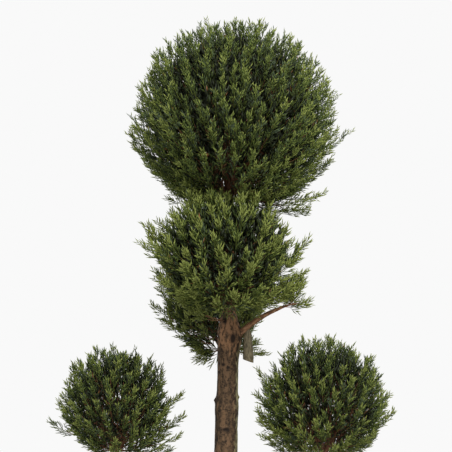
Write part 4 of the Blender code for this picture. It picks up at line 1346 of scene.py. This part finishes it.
# the inner cords' tints: nearly all of the darkest two, partly painted shade
INNER_TINTS = {"scale_leaf_depth": 0.74, "scale_leaf_shade": 0.24, "scale_leaf_rust": 0.02}
PIECE_LIMIT = 190_000  # triangles


def inner_cords(name, rng):
    """A head's old inner foliage: cords and tints."""
    feet, tips = grow_inner(name, rng)
    many = len(feet)
    widths, turns = rng.uniform(*INNER_WIDTHS, many), rng.uniform(0, FULL_TURN, many)
    made = cords(feet, tips, widths, feet * 0, turns)
    choices = [TINT_ORDER.index(tint) for tint in INNER_TINTS]
    return made, rng.choice(choices, many, p=list(INNER_TINTS.values()))


def leaf_pieces(name, points, tints):
    """Cords as meshes that stay under the limit."""
    parts = math.ceil(len(points) * len(CORD_FACES) / PIECE_LIMIT)
    cuts = np.linspace(0, len(points), parts + 1).astype(int)
    for number, (first, last) in enumerate(zip(cuts, cuts[1:])):
        corners, faces = points[first:last].reshape(-1, 3), cord_faces(last - first)
        dealt = np.repeat(tints[first:last], len(CORD_FACES))
        title = f"{name}_foliage_{number + 1}"
        mesh_piece(title, corners, faces, leaf_materials, name, tints=dealt)


# %% [markdown]
# The wood of a head is thin: boughs of six sides, twigs of four and the plumes' own stems of
# three, brown below and green at their tips. Each spray's stalk is one more cord.

# %% The wood of a head
# how far along boughs, twigs and plumes their rings of points go, and how many rings
TUBE_SHARES = ((1, 10), (1, 6), (0.92, 5))
BARK_TINT, TAN_TINT, GREEN_TINT = range(len(TWIG_TINTS))
STALK_WIDTH, STALK_SHARE = 1.7 * MM, 0.85  # a stalk goes most of the way along its spray


def tubes(curves, shares, radii, sides, stretch_tints):
    """Tubes along curves: points, faces and tints, one tint for each stretch of a tube."""
    paths = curve(*curves, np.broadcast_to(shares, (len(curves[0]), len(shares))))[0]
    points, faces = stems(paths, np.broadcast_to(radii, paths.shape[:2]), sides)
    counts = [2 * sides] * len(stretch_tints) + [sides] * 2
    tints = np.repeat([*stretch_tints, stretch_tints[0], stretch_tints[-1]], counts)
    return points, faces, np.tile(tints, len(paths))


def head_twigs(name, plumes, where, ends, rng):
    """A head's boughs, twigs, plume stems and spray stalks as one mesh: points, faces, tints."""
    feet, bends, _ = plumes
    boughs = grow_boughs(name, rng)
    from_boughs = len(feet) - (len(LIMB_SHOOTS + FORK_SHOOTS) if name == "middle_head" else 0)
    twigs = grow_twigs(name, boughs, *some(slice(from_boughs), feet, unit(bends - feet)), rng)
    bough, twig, stem = (np.linspace(0, *row) for row in TUBE_SHARES)
    thick = BOUGH_RADIUS.get(name, THIN_BOUGH) * (1 - 0.55 * bough)
    many = len(where)
    widths = np.full(many, STALK_WIDTH)
    stalks = cords(where, where + (ends - where) * STALK_SHARE, widths, where * 0, widths * 0)
    parts = [
        tubes(boughs, bough, thick, 6, [BARK_TINT] * (len(bough) - 1)),
        tubes(twigs, twig, (1.9 - 0.6 * twig) * MM, 4, [BARK_TINT] * (len(twig) - 1)),
        tubes(plumes, stem, (1.35 - 0.9 * stem) * MM, 3, [TAN_TINT] * 2 + [GREEN_TINT] * 2),
        (stalks.reshape(-1, 3), cord_faces(many), np.full(many * len(CORD_FACES), GREEN_TINT)),
    ]
    points, faces, tints = zip(*parts)
    firsts = np.cumsum([0, *map(len, points)])
    faces = [corners + first for corners, first in zip(faces, firsts)]
    return np.concatenate(points), np.concatenate(faces), np.concatenate(tints)


# %% Make the heads
STEM_ROWS, STEM_COLUMNS, STEM_RELIEF = 50, 28, 0.6 * MM
LEADER_ROWS, LEADER_COLUMNS, LEADER_RELIEF = 60, 20, 0.3 * MM
leaf_triangles = twig_triangles = 0
for name in HEADS:
    seed = HEADS[name].seed
    rng = np.random.default_rng(seed)
    plumes = grow_plumes(name, rng)
    where, ends, *outer = outer_cords(name, plumes, rng)
    inner = inner_cords(name, rng)
    leaf_pieces(name, *(np.concatenate(pair) for pair in zip(outer, inner)))
    line = stem_line(name, np.linspace(0, 1, STEM_ROWS))
    wood_skin(f"{name}_stem", name, line, STEM_COLUMNS, STEM_RELIEF, seed)
    if name == "middle_head":
        shares = np.linspace(0, 1, LEADER_ROWS)
        line = (*leader_line(shares), np.linspace(*LEADER_RADII, LEADER_ROWS))
        wood_skin("middle_head_leader", name, line, LEADER_COLUMNS, LEADER_RELIEF, 77)
    points, faces, tints = head_twigs(name, plumes, where, ends, rng)
    mesh_piece(f"{name}_twigs", points, faces, twig_materials, name, tints=tints)
    leaf_triangles += (len(outer[0]) + len(inner[0])) * len(CORD_FACES)
    twig_triangles += len(faces)
    print(name, "sprays", len(where), "cords", len(outer[0]), "inner", len(inner[0]), "twigs", len(faces))
print("foliage triangles:", leaf_triangles, "twig triangles:", twig_triangles)

# %% [markdown]
# ## Floor and light
# A plain pale floor, a bright even surround, and one broad soft lamp high in front. Most of the
# light comes from above, so the heads are light on top and dark below and between the plumes.

# %% Floor
FLOOR_RADIUS = 4.6
floor_rows = np.array([0.02, 1.0, 2.0, 3.0, 4.0, FLOOR_RADIUS - 0.01, FLOOR_RADIUS, FLOOR_RADIUS - 0.01])
floor_heights = np.array([0, 0, 0, 0, 0, 0, -0.01, -0.02])
floor_grid, _ = turned_grid(np.stack([floor_rows[::-1], floor_heights[::-1]], axis=-1), 128)
floor_mesh = bpy.data.meshes.new("floor")
floor_mesh.from_pydata(skin_points(floor_grid).tolist(), [], skin_faces(*floor_grid.shape[:2]).tolist())
floor = bpy.data.objects.new("floor", floor_mesh)
link(floor)
floor_mesh.materials.append(new_material("studio_paper", "#c9c9c9", 0.9, 0.2)[0])

# %% Light
world = bpy.data.worlds.new("studio")
world.use_nodes = True
world.node_tree.nodes["Background"].inputs["Color"].default_value = linear("#f9f9f9")
bpy.context.scene.world = world
bpy.context.scene.view_settings.view_transform = "Standard"


def soft_lamp(name, place, target, size, power):
    """A round area lamp that faces its target; its light is softer the larger it is."""
    lamp = bpy.data.lights.new(name, "AREA")
    lamp.shape = "DISK"
    lamp.size = size
    lamp.energy = power
    made = bpy.data.objects.new(name, lamp)
    made.location = place
    made.rotation_euler = (Vector(place) - Vector(target)).to_track_quat("Z", "Y").to_euler()
    link(made)


soft_lamp("key", (0.9, -2.4, 4.2), (0, 0, 1.3), 1.6, 150)
